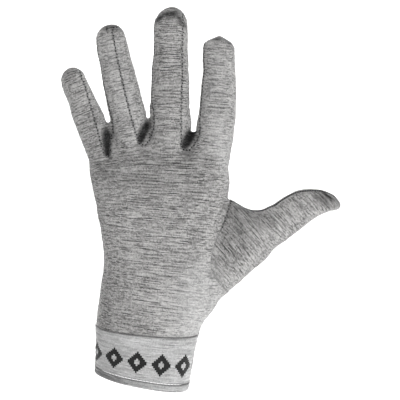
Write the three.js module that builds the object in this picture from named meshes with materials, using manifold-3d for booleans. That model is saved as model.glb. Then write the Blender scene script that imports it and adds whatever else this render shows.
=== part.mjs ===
// A knitted glove liner for the left hand, open and in the form that it has when worn.
// It is sewn from a back panel, a palm panel, three fourchettes between the fingers, a set-in thumb and a cuff.
// The wrist opening is at the origin, the fingers point up along +Z, and the back of the hand faces -Y.
import * as THREE from "three";
import Module from "manifold-3d";

const wasm = await Module();
wasm.setup();

// Cloth and seams, in millimetres
const CLOTH = 1.5; // one layer of knitted cloth
const CUFF_CLOTH = 2.4; // the cuff is folded double
const SEAM_GAP = 0.4; // width left open between two pieces that are sewn together

// Cuff
const CUFF_HEIGHT = 33;
const CUFF_BREADTH = 60; // at the wrist opening
const CUFF_DEPTH = 41;
const HEM_HEIGHT = 4.5; // of the bound edge, which is part of the cuff's height
const HEM_FULLNESS = 0.3; // how much further the bound edge stands out than the cuff
const RIM_SLANT = 11; // degrees that the rim drops towards the thumb's side
const SEAM_SLANT = 5; // degrees that the seam at the top of the cuff does
const COURSE_TILT = 9; // degrees that the cuff's courses drop towards the back of the hand

// Palm, from the cuff's seam to the edge of the webs between the fingers
const WEB_HEIGHT = 168; // of the middle web above the wrist opening
const WEB_DROP = 6; // how much lower the webs' line ends at the sides of the hand
const PALM_BREADTH = 88; // across the knuckles
const PALM_DEPTH = 29;
const KNUCKLE_HEIGHT = 124;

// Fingers and thumb
const FINGER_LENGTH = 119.4; // of the middle finger, from its knuckle to its tip
const FINGER_BREADTH = 25.5; // of the index finger at its knuckle
const FINGER_DEPTH = 20.5; // of the middle finger at its middle
const FINGER_CURL = 6; // how far the fingertips bend back towards the palm
const CURL_REACH = 114; // height above the knuckles at which that bend is measured
const FOURCHETTE_SHARE = 0.62; // of a finger's depth behind its middle that its fourchette covers
const INNER_SEAM = -0.92; // seam on a finger's other side from the thumb, as a share of its half breadth
const FOURCHETTE_REACH = 5; // how far a fourchette's strip runs out past its finger's side, over the web
const THUMB_LENGTH = 120.5; // from the heel of the hand to the tip
const THUMB_BREADTH = 24;
const THUMB_DEPTH = 19;
const THUMB_LEAN = 56; // degrees from upright
const THUMB_SET_BACK = 3.5; // degrees that the thumb turns back from the plane of the hand
const THUMB_ROOT = { across: 30, back: 2, up: 48 };

// How finely round pieces are divided
const PALM_SIDES = 32;
const DIGIT_SIDES = 16;
const DOME_ANGLES = [32, 62]; // degrees round the end of a digit

// Each finger runs from a knuckle inside the palm. across is a share of the palm's breadth from the wrist's
// middle, lean is in degrees from upright, and bow is a share of the finger's own length. length, root, tip
// and depth are shares of FINGER_LENGTH, FINGER_BREADTH twice and FINGER_DEPTH.
const FINGERS = [
  { name: "index", across: 0.462, length: 0.844, lean: 5.2, bow: 0.038, root: 1, tip: 0.804, depth: 0.951 },
  { name: "middle", across: 0.208, length: 1, lean: 0.4, bow: 0, root: 1.059, tip: 0.843, depth: 1 },
  { name: "ring", across: 0.023, length: 0.924, lean: -12.8, bow: 0, root: 1, tip: 0.765, depth: 0.951 },
  { name: "little", across: -0.174, length: 0.711, lean: -22.4, bow: 0, root: 0.863, tip: 0.647, depth: 0.829 },
];

// Where the fourchette's seam on the thumb's side runs on the back of a finger, as shares of half its breadth
const OUTER_SEAMS = {
  middle: { root: 0.53, tip: 0.8 },
  ring: { root: 0.12, tip: -0.05 },
  little: { root: -0.1, tip: 0.9 },
};

// Stations along a finger as a share of its length. taper goes from the root's breadth to the tip's,
// swell is the joints' share on top of it, and depth is a share of the finger's own depth.
const FINGER_STATIONS = [
  { along: 0.0, taper: 0.0, swell: 0.94, depth: 1.08 },
  { along: 0.25, taper: 0.06, swell: 1.0, depth: 1.1 },
  { along: 0.36, taper: 0.16, swell: 1.0, depth: 1.06 },
  { along: 0.5, taper: 0.36, swell: 1.0, depth: 1.0 },
  { along: 0.62, taper: 0.52, swell: 1.02, depth: 1.0 },
  { along: 0.74, taper: 0.76, swell: 1.0, depth: 0.92 },
  { along: 0.84, taper: 0.92, swell: 1.02, depth: 0.88 },
];
const DOME_SHARE = 0.4; // length of a finger's rounded end, as a share of its tip breadth

// Rows from the cuff's seam up to the webs. up is a share of the way, shift and breadth are shares of the
// palm's breadth, depth and back of its depth, and slant is a share of the cuff's slant.
const PALM_ROWS = [
  { up: 0.0, shift: 0.042, breadth: 0.758, depth: 1.4, back: 0.04, slant: 1.0 },
  { up: 0.06, shift: 0.066, breadth: 0.79, depth: 1.37, back: 0.04, slant: 0.95 },
  { up: 0.12, shift: 0.112, breadth: 0.855, depth: 1.32, back: 0.04, slant: 0.85 },
  { up: 0.18, shift: 0.145, breadth: 0.893, depth: 1.26, back: 0.04, slant: 0.75 },
  { up: 0.25, shift: 0.163, breadth: 0.897, depth: 1.22, back: 0.04, slant: 0.6 },
  { up: 0.35, shift: 0.162, breadth: 0.88, depth: 1.17, back: 0.03, slant: 0.45 },
  { up: 0.47, shift: 0.15, breadth: 0.904, depth: 1.1, back: 0.02, slant: 0.3 },
  { up: 0.58, shift: 0.147, breadth: 0.955, depth: 1.05, back: 0.0, slant: 0.1 },
  { up: 0.68, shift: 0.144, breadth: 1.005, depth: 1.0, back: 0.0, slant: 0.0 },
  { up: 0.77, shift: 0.131, breadth: 1.034, depth: 0.94, back: 0.0, slant: 0.0 },
  { up: 0.84, shift: 0.122, breadth: 1.03, depth: 0.82, back: 0.04, slant: 0.0 },
  { up: 0.9, shift: 0.122, breadth: 0.98, depth: 0.62, back: 0.1, slant: 0.0 },
  { up: 0.955, shift: 0.122, breadth: 0.9, depth: 0.42, back: 0.15, slant: 0.0 },
  { up: 1.0, shift: 0.122, breadth: 0.8, depth: 0.2, back: 0.18, slant: 0.0 },
];
const ARCH_START = 0.6; // share of the way up at which the rows begin to follow the webs' line

// Stations along the thumb as a share of its length. rise is towards the index finger as a share of the
// length, and breadth and depth are shares of the thumb's own.
const THUMB_STATIONS = [
  { along: 0.021, rise: 0.01, breadth: 0.6, depth: 0.9 },
  { along: 0.134, rise: 0.027, breadth: 0.95, depth: 1.3 },
  { along: 0.232, rise: 0.063, breadth: 1.24, depth: 1.5 },
  { along: 0.335, rise: 0.098, breadth: 1.46, depth: 1.55 },
  { along: 0.437, rise: 0.14, breadth: 1.75, depth: 1.5 },
  { along: 0.515, rise: 0.163, breadth: 1.86, depth: 1.4 },
  { along: 0.55, rise: 0.132, breadth: 1.42, depth: 1.32 },
  { along: 0.6, rise: 0.108, breadth: 1.13, depth: 1.25 },
  { along: 0.664, rise: 0.097, breadth: 1.03, depth: 1.18 },
  { along: 0.706, rise: 0.096, breadth: 1, depth: 1.12 },
  { along: 0.773, rise: 0.099, breadth: 0.98, depth: 1.04 },
  { along: 0.857, rise: 0.093, breadth: 0.86, depth: 0.94 },
  { along: 0.92, rise: 0.07, breadth: 0.75, depth: 0.81 },
];
const THUMB_TIP_RISE = 0.012; // where the thumb's end lies, towards the index finger, as a share of its length

// The seam round the thumb's root, on the back of the hand. across is a share of the palm's breadth
// and up a share of the knuckles' height.
const THUMB_SEAM = [
  { across: 0.655, up: 0.93 },
  { across: 0.61, up: 0.83 },
  { across: 0.54, up: 0.71 },
  { across: 0.515, up: 0.62 },
  { across: 0.53, up: 0.565 },
  { across: 0.64, up: 0.46 },
];

const WOOL_GREY = 0xa3a4a1;
const CUFF_GREY = 0xbfc3bf;

const radians = THREE.MathUtils.degToRad;

// How far back the fingers' middle surface lies at a height
function curlAt(up) {
  const share = Math.max(0, (up - KNUCKLE_HEIGHT) / CURL_REACH);
  return FINGER_CURL * share * share;
}

// A rounded box-like ring of half sizes a and b: an exponent of 2 is an ellipse, and more is squarer
function superellipse(sides, a, b, exponent) {
  return Array.from({ length: sides }, (_, i) => {
    const turn = (2 * Math.PI * i) / sides;
    const [c, s] = [Math.cos(turn), Math.sin(turn)];
    return {
      right: a * Math.sign(c) * Math.abs(c) ** (2 / exponent),
      back: b * Math.sign(s) * Math.abs(s) ** (2 / exponent),
    };
  });
}

// A closed geometry through rings of equally many points, with a fan over each end
function loft(rings) {
  const sides = rings[0].length;
  const middleOf = (ring) => ring.reduce((sum, p) => sum.add(p), new THREE.Vector3()).divideScalar(sides);
  const points = [...rings.flat(), middleOf(rings[0]), middleOf(rings.at(-1))];
  const [firstMiddle, lastMiddle] = [points.length - 2, points.length - 1];
  const lastRing = (rings.length - 1) * sides;
  const faces = [];
  for (let i = 0; i < sides; i++) {
    const next = (i + 1) % sides;
    faces.push(firstMiddle, next, i, lastMiddle, lastRing + i, lastRing + next);
    for (let row = 0; row < rings.length - 1; row++) {
      const [low, high] = [row * sides, (row + 1) * sides];
      faces.push(low + i, low + next, high + next, low + i, high + next, high + i);
    }
  }
  return new THREE.BufferGeometry().setFromPoints(points).setIndex(faces);
}

// A solid that can be joined and cut, from a closed geometry
function solidOf(geometry) {
  return new wasm.Manifold(
    new wasm.Mesh({
      numProp: 3,
      vertProperties: geometry.getAttribute("position").array,
      triVerts: new Uint32Array(geometry.getIndex().array),
    }),
  );
}

// A prism over a flat outline of { x, y } points, mapped into place by a function of x, y and depth
function prism(outline, from, to, place) {
  return solidOf(loft([from, to].map((depth) => outline.map(({ x, y }) => place(x, y, depth)))));
}

// A digit's frame at a station: its middle, and the direction from its outer to its inner side
function digitFrame(root, lean, along, rise, back) {
  const [dx, dz] = [Math.sin(radians(lean)), Math.cos(radians(lean))];
  return {
    middle: new THREE.Vector3(root.x + dx * along - dz * rise, back, root.z + dz * along + dx * rise),
    side: new THREE.Vector3(dz, 0, -dx),
  };
}

// A finger's sections, with every length in millimetres
function fingerSections(finger) {
  const { across, lean, bow } = finger;
  const length = finger.length * FINGER_LENGTH;
  const [root, tip] = [finger.root * FINGER_BREADTH, finger.tip * FINGER_BREADTH];
  const depth = finger.depth * FINGER_DEPTH;
  const knuckle = new THREE.Vector3(across * PALM_BREADTH, 0, KNUCKLE_HEIGHT);
  const section = (along, halfBreadth, halfDepth) => {
    const share = along / length;
    const rise = -4 * share * (1 - share) * bow * length;
    const frame = digitFrame(knuckle, lean, along, rise, 0);
    frame.middle.y = curlAt(frame.middle.z);
    return { ...frame, along, halfBreadth, halfDepth };
  };
  const shaft = FINGER_STATIONS.map((s) =>
    section(s.along * length, (THREE.MathUtils.lerp(root, tip, s.taper) * s.swell) / 2, (depth * s.depth) / 2),
  );
  const last = shaft.at(-1);
  const dome = tip * DOME_SHARE;
  shaft.push(section(length - dome, tip / 2, last.halfDepth * 0.97));
  return { sections: shaft, end: shaft.at(-1), dome, section };
}

// The rings of a digit's outer skin, or of the hollow inside it when inset is the cloth's thickness
function digitRings({ sections, end, dome, section }, inset) {
  const ringAt = ({ middle, side, halfBreadth, halfDepth }, shrink) =>
    superellipse(DIGIT_SIDES, (halfBreadth - inset) * shrink, (halfDepth - inset) * shrink, 2.2).map(
      ({ right, back }) => middle.clone().addScaledVector(side, right).add(new THREE.Vector3(0, back, 0)),
    );
  const rings = sections.map((s) => ringAt(s, 1));
  for (const angle of DOME_ANGLES) {
    const reach = end.along + (dome - inset) * Math.sin(radians(angle));
    rings.push(ringAt(section(reach, end.halfBreadth, end.halfDepth), Math.cos(radians(angle))));
  }
  return rings;
}

// The pole of a digit's rounded end replaces the flat fan that a loft would leave there
function digitSolid(digit, inset) {
  const rings = digitRings(digit, inset);
  const pole = digit.section(digit.end.along + digit.dome - inset, 0, 0).middle;
  const geometry = loft(rings);
  const positions = geometry.getAttribute("position");
  positions.setXYZ(positions.count - 1, pole.x, pole.y, pole.z);
  return solidOf(geometry);
}

// A point in the thumb's own plane, at a length along it and a rise towards the index finger
function thumbFrame(along, rise) {
  const root = new THREE.Vector3(THUMB_ROOT.across, 0, THUMB_ROOT.up);
  return digitFrame(root, THUMB_LEAN, along, rise, thumbMiddle(along));
}

function thumbMiddle(along) {
  return THUMB_ROOT.back + along * Math.tan(radians(THUMB_SET_BACK));
}

// The thumb's sections, with every length in millimetres
function thumbSections() {
  const sections = THUMB_STATIONS.map(({ along, rise, breadth, depth }) => ({
    ...thumbFrame(along * THUMB_LENGTH, rise * THUMB_LENGTH),
    along: along * THUMB_LENGTH,
    halfBreadth: (breadth * THUMB_BREADTH) / 2,
    halfDepth: (depth * THUMB_DEPTH) / 2,
  }));
  const end = sections.at(-1);
  const dome = THUMB_LENGTH - end.along;
  const section = (along, halfBreadth, halfDepth) => {
    const rise = THREE.MathUtils.lerp(THUMB_STATIONS.at(-1).rise, THUMB_TIP_RISE, (along - end.along) / dome);
    return { ...thumbFrame(along, rise * THUMB_LENGTH), along, halfBreadth, halfDepth };
  };
  return { sections, end, dome, section };
}

// How far a point of a slanted and tilted course lies above its middle
function courseRise(slant, tilt, right, back) {
  return back * Math.tan(radians(tilt)) - right * Math.tan(radians(slant));
}

// One ring round the palm, slanted at the wrist and arched under the fingers
function palmRing({ up, shift, breadth, depth, back, slant }, inset, lift) {
  const middle = shift * PALM_BREADTH;
  const halfBreadth = (breadth * PALM_BREADTH) / 2;
  const arch = WEB_DROP * THREE.MathUtils.smoothstep(up, ARCH_START, 1);
  const height = CUFF_HEIGHT + SEAM_GAP + up * (WEB_HEIGHT - CUFF_HEIGHT - SEAM_GAP) + lift;
  return superellipse(PALM_SIDES, halfBreadth - inset, (depth * PALM_DEPTH) / 2 - inset, 2.3).map((p) => {
    const rise = courseRise(SEAM_SLANT * slant, COURSE_TILT * slant, p.right, p.back);
    const fall = arch * (p.right / halfBreadth) ** 2;
    return new THREE.Vector3(middle + p.right, p.back + back * PALM_DEPTH, height + rise - fall);
  });
}

// The palm's outer form, or the hollow inside it, which runs out through the wrist
function palmSolid(inset) {
  const rings = PALM_ROWS.map((row, i) => {
    const isTop = i === PALM_ROWS.length - 1;
    return palmRing(row, inset, isTop ? -inset : 0);
  });
  if (inset > 0) rings.unshift(palmRing(PALM_ROWS[0], inset, -2 * SEAM_GAP));
  return solidOf(loft(rings));
}

// A ring round the cuff, which is a little narrower at the wrist opening than at the seam
function cuffRing(up, inset) {
  const seam = PALM_ROWS[0];
  const share = up / CUFF_HEIGHT;
  const middle = share * seam.shift * PALM_BREADTH;
  const halfBreadth = THREE.MathUtils.lerp(CUFF_BREADTH, seam.breadth * PALM_BREADTH, share) / 2;
  const halfDepth = THREE.MathUtils.lerp(CUFF_DEPTH, seam.depth * PALM_DEPTH, share) / 2;
  const slant = THREE.MathUtils.lerp(RIM_SLANT, SEAM_SLANT, share);
  return superellipse(PALM_SIDES, halfBreadth - inset, halfDepth - inset, 2.3).map((p) => {
    const rise = courseRise(slant, COURSE_TILT, p.right, p.back);
    return new THREE.Vector3(middle + p.right, p.back + share * seam.back * PALM_DEPTH, up + rise);
  });
}

// A tube round the wrist between two heights, with its edges drawn in by a share of the cloth
function bandSolid(from, to, fullness) {
  const outline = [
    { at: 0, drawnIn: 0.45 },
    { at: 0.15, drawnIn: 0 },
    { at: 0.85, drawnIn: 0 },
    { at: 1, drawnIn: 0.3 },
  ];
  const outer = outline.map(({ at, drawnIn }) =>
    cuffRing(THREE.MathUtils.lerp(from, to, at), drawnIn * CUFF_CLOTH - fullness),
  );
  const hollow = [from - SEAM_GAP, to + SEAM_GAP].map((up) => cuffRing(up, CUFF_CLOTH));
  return solidOf(loft(outer)).subtract(solidOf(loft(hollow)));
}

// A strip down one side of a finger, from its seam on the back round to its seam on the palm's side, and out
// over the web. seam holds shares of half the breadth, and grow widens the strip for the gap.
function fourchetteStrip({ sections, end, dome, section }, seam, toRight, grow) {
  const stations = [...sections.slice(1), section(end.along + dome * 0.6, end.halfBreadth, end.halfDepth)];
  const rings = stations.map(({ middle, side, halfBreadth, halfDepth }, i) => {
    const share = i / (stations.length - 1);
    const front = -1.2 * halfDepth - grow;
    const back = halfDepth * FOURCHETTE_SHARE * (share < 1 ? 1 : 0.5) + grow;
    const inside = THREE.MathUtils.lerp(seam.root, seam.tip, share) * halfBreadth - grow * toRight;
    const innerBack = toRight * (halfBreadth / 2 - grow);
    const reach = toRight * (halfBreadth + FOURCHETTE_REACH + grow);
    const corners = [[inside, front], [reach, front], [reach, back], [innerBack, back]];
    if (toRight < 0) corners.reverse();
    return corners.map(([right, depth]) =>
      middle.clone().addScaledVector(side, right).add(new THREE.Vector3(0, depth, 0)),
    );
  });
  rings.at(-1).forEach((p) => p.add(new THREE.Vector3(0, 0, grow)));
  rings[0].forEach((p) => p.add(new THREE.Vector3(0, 0, -grow)));
  return solidOf(loft(rings));
}

// The region of the thumb's piece, right through the hand. grow widens it for the gap.
function thumbRegion(grow) {
  const seam = THUMB_SEAM.map(({ across, up }) => ({
    x: across * PALM_BREADTH - grow,
    y: up * KNUCKLE_HEIGHT,
  }));
  const far = THUMB_ROOT.across + THUMB_LENGTH * 1.2;
  const [first, last] = [seam[0], seam.at(-1)];
  const outline = [...seam, { x: last.x + PALM_DEPTH, y: last.y - PALM_DEPTH }, { x: far, y: 0 }];
  outline.push({ x: far, y: WEB_HEIGHT }, { x: first.x + 4, y: first.y + PALM_DEPTH / 2 });
  const depth = 2 * PALM_DEPTH;
  return prism(outline, depth, -depth, (x, y, back) => new THREE.Vector3(x, back, y));
}

// The space in front of or behind a middle surface, given by a line of { back, up } points that place
// takes into the object's frame with a third length across it
function halfSpace(middle, inFront, place) {
  const side = inFront ? -1 : 1;
  const far = 3 * PALM_DEPTH * side;
  const outline = middle.map(({ back, up }) => ({ x: back + (SEAM_GAP / 2) * side, y: up }));
  outline.push({ x: far, y: middle.at(-1).up }, { x: far, y: middle[0].up });
  const reach = 2 * PALM_BREADTH * side;
  return prism(outline, reach, -reach, place);
}

// The hand's middle surface curls back with the fingers
function handHalf(inFront) {
  const heights = [-CUFF_HEIGHT, KNUCKLE_HEIGHT];
  for (let share = 0.2; share <= 1.2; share += 0.2) heights.push(KNUCKLE_HEIGHT + share * CURL_REACH);
  const middle = heights.map((up) => ({ back: curlAt(up), up }));
  return halfSpace(middle, inFront, (back, up, across) => new THREE.Vector3(across, back, up));
}

// The thumb's middle surface is flat
function thumbHalf(inFront) {
  const middle = [-THUMB_LENGTH, 2 * THUMB_LENGTH].map((along) => ({ back: thumbMiddle(along), up: along }));
  return halfSpace(middle, inFront, (back, along, side) => {
    const { middle: point } = thumbFrame(along, -side);
    return point.setY(back);
  });
}

// The whole skin of hand, fingers and thumb, hollow and open at the wrist
const fingers = Object.fromEntries(FINGERS.map((finger) => [finger.name, fingerSections(finger)]));
const digits = [...Object.values(fingers), thumbSections()];
const formOf = (inset) =>
  digits.reduce((whole, digit) => whole.add(digitSolid(digit, inset)), palmSolid(inset));
const skin = formOf(0).subtract(formOf(CLOTH));

// The pieces cut from that skin
const handSkin = skin.subtract(thumbRegion(SEAM_GAP));
const webs = { little_ring: ["little", "ring"], ring_middle: ["ring", "middle"], middle_index: ["middle", "index"] };
const webRegion = ([left, right], grow) =>
  fourchetteStrip(fingers[left], OUTER_SEAMS[left], 1, grow).add(
    fourchetteStrip(fingers[right], { root: INNER_SEAM, tip: INNER_SEAM }, -1, grow),
  );
const panels = Object.values(webs).reduce((rest, web) => rest.subtract(webRegion(web, SEAM_GAP)), handSkin);

const glove = new THREE.Group();

function addPiece(name, solid, colour) {
  const { vertProperties, triVerts } = solid.getMesh();
  const geometry = new THREE.BufferGeometry()
    .setAttribute("position", new THREE.BufferAttribute(vertProperties, 3))
    .setIndex(new THREE.BufferAttribute(triVerts, 1));
  const material = new THREE.MeshStandardMaterial({ color: colour, roughness: 0.95, metalness: 0 });
  const mesh = new THREE.Mesh(geometry, material);
  mesh.name = name;
  glove.add(mesh);
}

addPiece("back_panel", panels.intersect(handHalf(true)), WOOL_GREY);
addPiece("palm_panel", panels.intersect(handHalf(false)), WOOL_GREY);
for (const [name, web] of Object.entries(webs)) {
  addPiece(`fourchette_${name}`, handSkin.intersect(webRegion(web, 0)), WOOL_GREY);
}
const thumbSkin = skin.intersect(thumbRegion(0));
addPiece("thumb_back", thumbSkin.intersect(thumbHalf(true)), WOOL_GREY);
addPiece("thumb_palm", thumbSkin.intersect(thumbHalf(false)), WOOL_GREY);
addPiece("cuff_band", bandSolid(HEM_HEIGHT + SEAM_GAP, CUFF_HEIGHT, 0), CUFF_GREY);
addPiece("cuff_hem", bandSolid(0, HEM_HEIGHT, HEM_FULLNESS), CUFF_GREY);

export default glove;
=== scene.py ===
import logging
import math
from dataclasses import dataclass, field
from enum import Enum, IntEnum

import bmesh
import bpy
import numpy as np
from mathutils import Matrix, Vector


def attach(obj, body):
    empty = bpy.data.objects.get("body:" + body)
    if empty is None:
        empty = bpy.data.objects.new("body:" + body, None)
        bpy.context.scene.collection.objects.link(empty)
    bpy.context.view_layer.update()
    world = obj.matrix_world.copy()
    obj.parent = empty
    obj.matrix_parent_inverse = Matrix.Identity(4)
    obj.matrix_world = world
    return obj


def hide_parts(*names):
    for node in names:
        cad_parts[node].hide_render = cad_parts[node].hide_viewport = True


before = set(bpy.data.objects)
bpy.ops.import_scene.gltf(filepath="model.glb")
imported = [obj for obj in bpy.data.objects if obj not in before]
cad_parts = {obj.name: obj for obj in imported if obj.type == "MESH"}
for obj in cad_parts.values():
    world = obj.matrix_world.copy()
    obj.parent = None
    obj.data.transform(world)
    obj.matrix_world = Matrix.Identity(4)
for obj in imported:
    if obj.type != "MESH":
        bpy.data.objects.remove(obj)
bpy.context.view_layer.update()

# A knitted glove liner for the left hand, open and in the form that it has when worn.
# The form is lofted, joined and smoothed, and then parted along its seams into the pieces that the glove
# is sewn from. Lengths are in millimetres until a mesh is made, which is in metres.

MM = 0.001
KNUCKLE_HEIGHT = 124.0
FINGER_CURL = 6.0  # how far the fingers bend back towards the palm
CURL_REACH = 114.0  # height above the knuckles at which that is measured
HAND_MIDDLE = 11.0  # the knuckles' middle, from the wrist's
COURSE_RISE = 0.05  # how much the knit's courses rise towards the thumb's side
DIGIT_ROUNDNESS = 2.15  # exponents of the sections' superellipses
PALM_ROUNDNESS = 2.3
BODY = "root"
log = logging.getLogger("glove_liner")
Array = np.ndarray


class Slot(Enum):
    """The record's material slots."""

    JERSEY = "jersey"
    CUFF = "cuff_knit"


class Stitch(Enum):
    """How a seam's thread lies."""

    OVERCAST = "overcast"
    RUNNING = "running"
    CORD = "cord"


class Panel(IntEnum):
    """The panels' labels on the skin; the fourchettes follow WEBS from FIRST_WEB on."""

    NONE = -1
    BACK = 0
    PALM = 1
    FIRST_WEB = 2
    THUMB_BACK = 5
    THUMB_PALM = 6


def eased(low: float, high: float, x: Array) -> Array:
    """A smooth rise from 0 at low to 1 at high."""
    t = np.clip((np.asarray(x, float) - low) / (high - low), 0, 1)
    return t * t * (3 - 2 * t)


def through(x: Array, xs: Array, ys: Array) -> Array:
    """A smooth curve through a table's points.

    Args:
        x: Where the curve is read.
        xs: The table's positions, rising.
        ys: The table's values.

    Returns:
        The curve's values at x.
    """
    xs, ys = np.asarray(xs, float), np.asarray(ys, float)
    slopes = np.gradient(ys, xs)
    i = np.clip(np.searchsorted(xs, x) - 1, 0, len(xs) - 2)
    span = xs[i + 1] - xs[i]
    t = np.clip((x - xs[i]) / span, 0, 1)
    rest = 1 - t
    return (
        ys[i] * rest * rest * (1 + 2 * t)
        + ys[i + 1] * t * t * (3 - 2 * t)
        + slopes[i] * span * t * rest * rest
        - slopes[i + 1] * span * t * t * rest
    )


def superellipse(turns: Array, exponent: float) -> tuple[Array, Array]:
    """The two coordinates of a unit superellipse at some turns, in radians."""
    c, s = np.cos(turns), np.sin(turns)
    return np.sign(c) * np.abs(c) ** (2 / exponent), np.sign(s) * np.abs(s) ** (2 / exponent)


def stadium_arc(side: Array, depth: Array, half_breadth: Array, half_depth: Array) -> Array:
    """The length round a flattened section from its middle line to a point on it.

    Args:
        side: How far across the point lies from the section's middle.
        depth: How far before or behind it.
        half_breadth: Half the section's breadth.
        half_depth: Half its depth.

    Returns:
        The length, signed by the side.
    """
    flat = np.maximum(half_breadth - half_depth, 0)
    past = np.maximum(np.abs(side) - flat, 0)
    bend = np.arctan2(past, np.abs(depth) + 1e-6)
    return np.sign(side) * (np.minimum(np.abs(side), flat) + half_depth * bend)


def ripple(points: Array, length: float, seed: int) -> Array:
    """A smooth random field of unit strength.

    Args:
        points: Where it is read.
        length: About how long its waves are.
        seed: The seed of its waves.

    Returns:
        The field's values.
    """
    rng = np.random.default_rng(seed)
    ways = rng.normal(size=(14, 3))
    ways /= np.linalg.norm(ways, axis=1)[:, None]
    waves = ways * (2 * math.pi / (length * rng.uniform(0.7, 1.5, 14)))[:, None]
    return np.sin(points @ waves.T + rng.uniform(0, 6.28, 14)).sum(axis=1) / math.sqrt(7)


@dataclass(frozen=True)
class Ripple:
    """Soft waves in the cloth, from their height, their length, what stretches them, and their seed."""

    height: float
    length: float
    stretch: tuple[float, float, float]
    seed: int

    def at(self, points: Array) -> Array:
        """How far the waves lift the cloth at points."""
        return self.height * ripple(points * np.array(self.stretch), self.length, self.seed)


HAND_RIPPLES = (Ripple(0.16, 16, (1, 1, 1), 3), Ripple(0.07, 5, (0.35, 1, 1.6), 4))
CUFF_RIPPLES = (Ripple(0.18, 13, (1, 1, 0.4), 9), Ripple(0.1, 5, (0.4, 0.4, 1.6), 10))


def placed(name: str, data: bpy.types.ID) -> bpy.types.Object:
    """Put a new object into the scene.

    Args:
        name: The object's name.
        data: Its mesh, light or camera.

    Returns:
        The object.
    """
    made = bpy.data.objects.new(name, data)
    bpy.context.scene.collection.objects.link(made)
    return made


def smooth_mesh(name: str, points: list, faces: list, material: bpy.types.Material) -> bpy.types.Mesh:
    """A mesh with smooth shading.

    Args:
        name: The mesh's name.
        points: Its points, in metres.
        faces: Its faces, as point numbers.
        material: Its finish.

    Returns:
        The mesh.
    """
    mesh = bpy.data.meshes.new(name)
    mesh.from_pydata(points, [], faces)
    mesh.polygons.foreach_set("use_smooth", np.ones(len(mesh.polygons), bool))
    mesh.materials.append(material)
    return mesh


def sides_of(triangles: Array) -> Array:
    """The sides of triangles, as pairs of point numbers: all first sides, all second and all third."""
    return np.concatenate([triangles[:, [0, 1]], triangles[:, [1, 2]], triangles[:, [2, 0]]])


def turned(points: Array, x: float, z: float, degrees: float) -> tuple[Array, Array]:
    """Points in the XZ plane in the terms of a turned mark.

    Args:
        points: Points in the glove's frame.
        x: The mark's middle across the hand.
        z: The mark's middle up the hand.
        degrees: The mark's direction from +X.

    Returns:
        How far the points lie along the mark and across it.
    """
    way = np.array([math.cos(math.radians(degrees)), math.sin(math.radians(degrees))])
    flat = points[:, [0, 2]] - np.array([x, z])
    return flat @ way, flat @ np.array([-way[1], way[0]])


def curl_at(height: Array) -> Array:
    """How far back the fingers' middle surface lies at a height."""
    return FINGER_CURL * (np.maximum(0, np.asarray(height, float) - KNUCKLE_HEIGHT) / CURL_REACH) ** 2


@dataclass(frozen=True)
class Digit:
    """A finger or the thumb: a bent and tapered tube with a rounded end.

    rows holds stations of (along, rise, half breadth, half depth), all lengths. The tube's middle lies in
    the curled surface of the hand, or in the thumb's own plane where set_back is given in degrees.
    """

    name: str
    root: tuple[float, float, float]
    lean: float
    length: float
    dome: float
    rows: Array
    set_back: float | None = None
    point: float = 1.0
    skew: float = 0.0

    @property
    def axis(self) -> Array:
        """The direction from root to tip."""
        return np.array([math.sin(math.radians(self.lean)), 0.0, math.cos(math.radians(self.lean))])

    @property
    def side(self) -> Array:
        """The direction across the digit, towards the thumb's side of the hand."""
        return np.array([self.axis[2], 0.0, -self.axis[0]])

    def middle(self, along: Array) -> Array:
        """Points of the middle line.

        Args:
            along: Lengths along the digit, from its root.

        Returns:
            The points, a row for each length.
        """
        along = np.atleast_1d(along)
        rise = through(along, self.rows[:, 0], self.rows[:, 1])
        points = np.array(self.root) + along[:, None] * self.axis - rise[:, None] * self.side
        if self.set_back is None:
            points[:, 1] = curl_at(points[:, 2])
        else:
            points[:, 1] = self.root[1] + along * math.tan(math.radians(self.set_back))
        return points

    def halves(self, along: Array) -> tuple[Array, Array]:
        """Half the breadth and half the depth at lengths along the digit."""
        return tuple(through(along, self.rows[:, 0], self.rows[:, k]) for k in (2, 3))

    def rings(self, sides: int, step: float) -> list[Array]:
        """The sections of the tube and of its rounded end, as closed rings of points.

        Args:
            sides: How many points a ring has.
            step: About how far apart the rings are along the tube.

        Returns:
            The rings, from root to tip.
        """
        end = self.length - self.dome
        shaft = np.linspace(self.rows[0, 0], end, int((end - self.rows[0, 0]) / step) + 1)
        turns = np.arange(sides) * 2 * math.pi / sides
        right, back = superellipse(turns, DIGIT_ROUNDNESS)
        angles = np.radians([12, 24, 36, 48, 60, 70, 79, 86])
        levels = [(along, 1.0) for along in shaft]
        levels += [(end + self.dome * math.sin(a), math.cos(a) ** self.point) for a in angles]
        result = []
        for along, shrink in levels:
            half_breadth, half_depth = (float(h) * shrink for h in self.halves(min(along, end)))
            middle = self.middle(along)[0]
            result.append(
                middle
                + (right * half_breadth)[:, None] * self.side
                + (back * half_depth)[:, None] * np.array([0.0, 1.0, 0.0])
            )
        return result

    def locate(self, points: Array) -> dict[str, Array]:
        """Where points lie in the digit's own terms.

        Args:
            points: Points in the glove's frame.

        Returns:
            along, side and depth as lengths, the section's halves, and reach, which is 1 on the skin.
        """
        away = points - np.array(self.root)
        along = away @ self.axis
        middle = self.middle(np.clip(along, self.rows[0, 0], self.length))
        half_breadth, half_depth = self.halves(np.clip(along, self.rows[0, 0], self.length - self.dome))
        side = (points - middle) @ self.side
        depth = points[:, 1] - middle[:, 1]
        power = DIGIT_ROUNDNESS
        reach = (np.abs(side / half_breadth) ** power + np.abs(depth / half_depth) ** power) ** (1 / power)
        return {
            "along": along, "side": side, "depth": depth, "reach": reach,
            "half_breadth": half_breadth, "half_depth": half_depth,
        }


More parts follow.
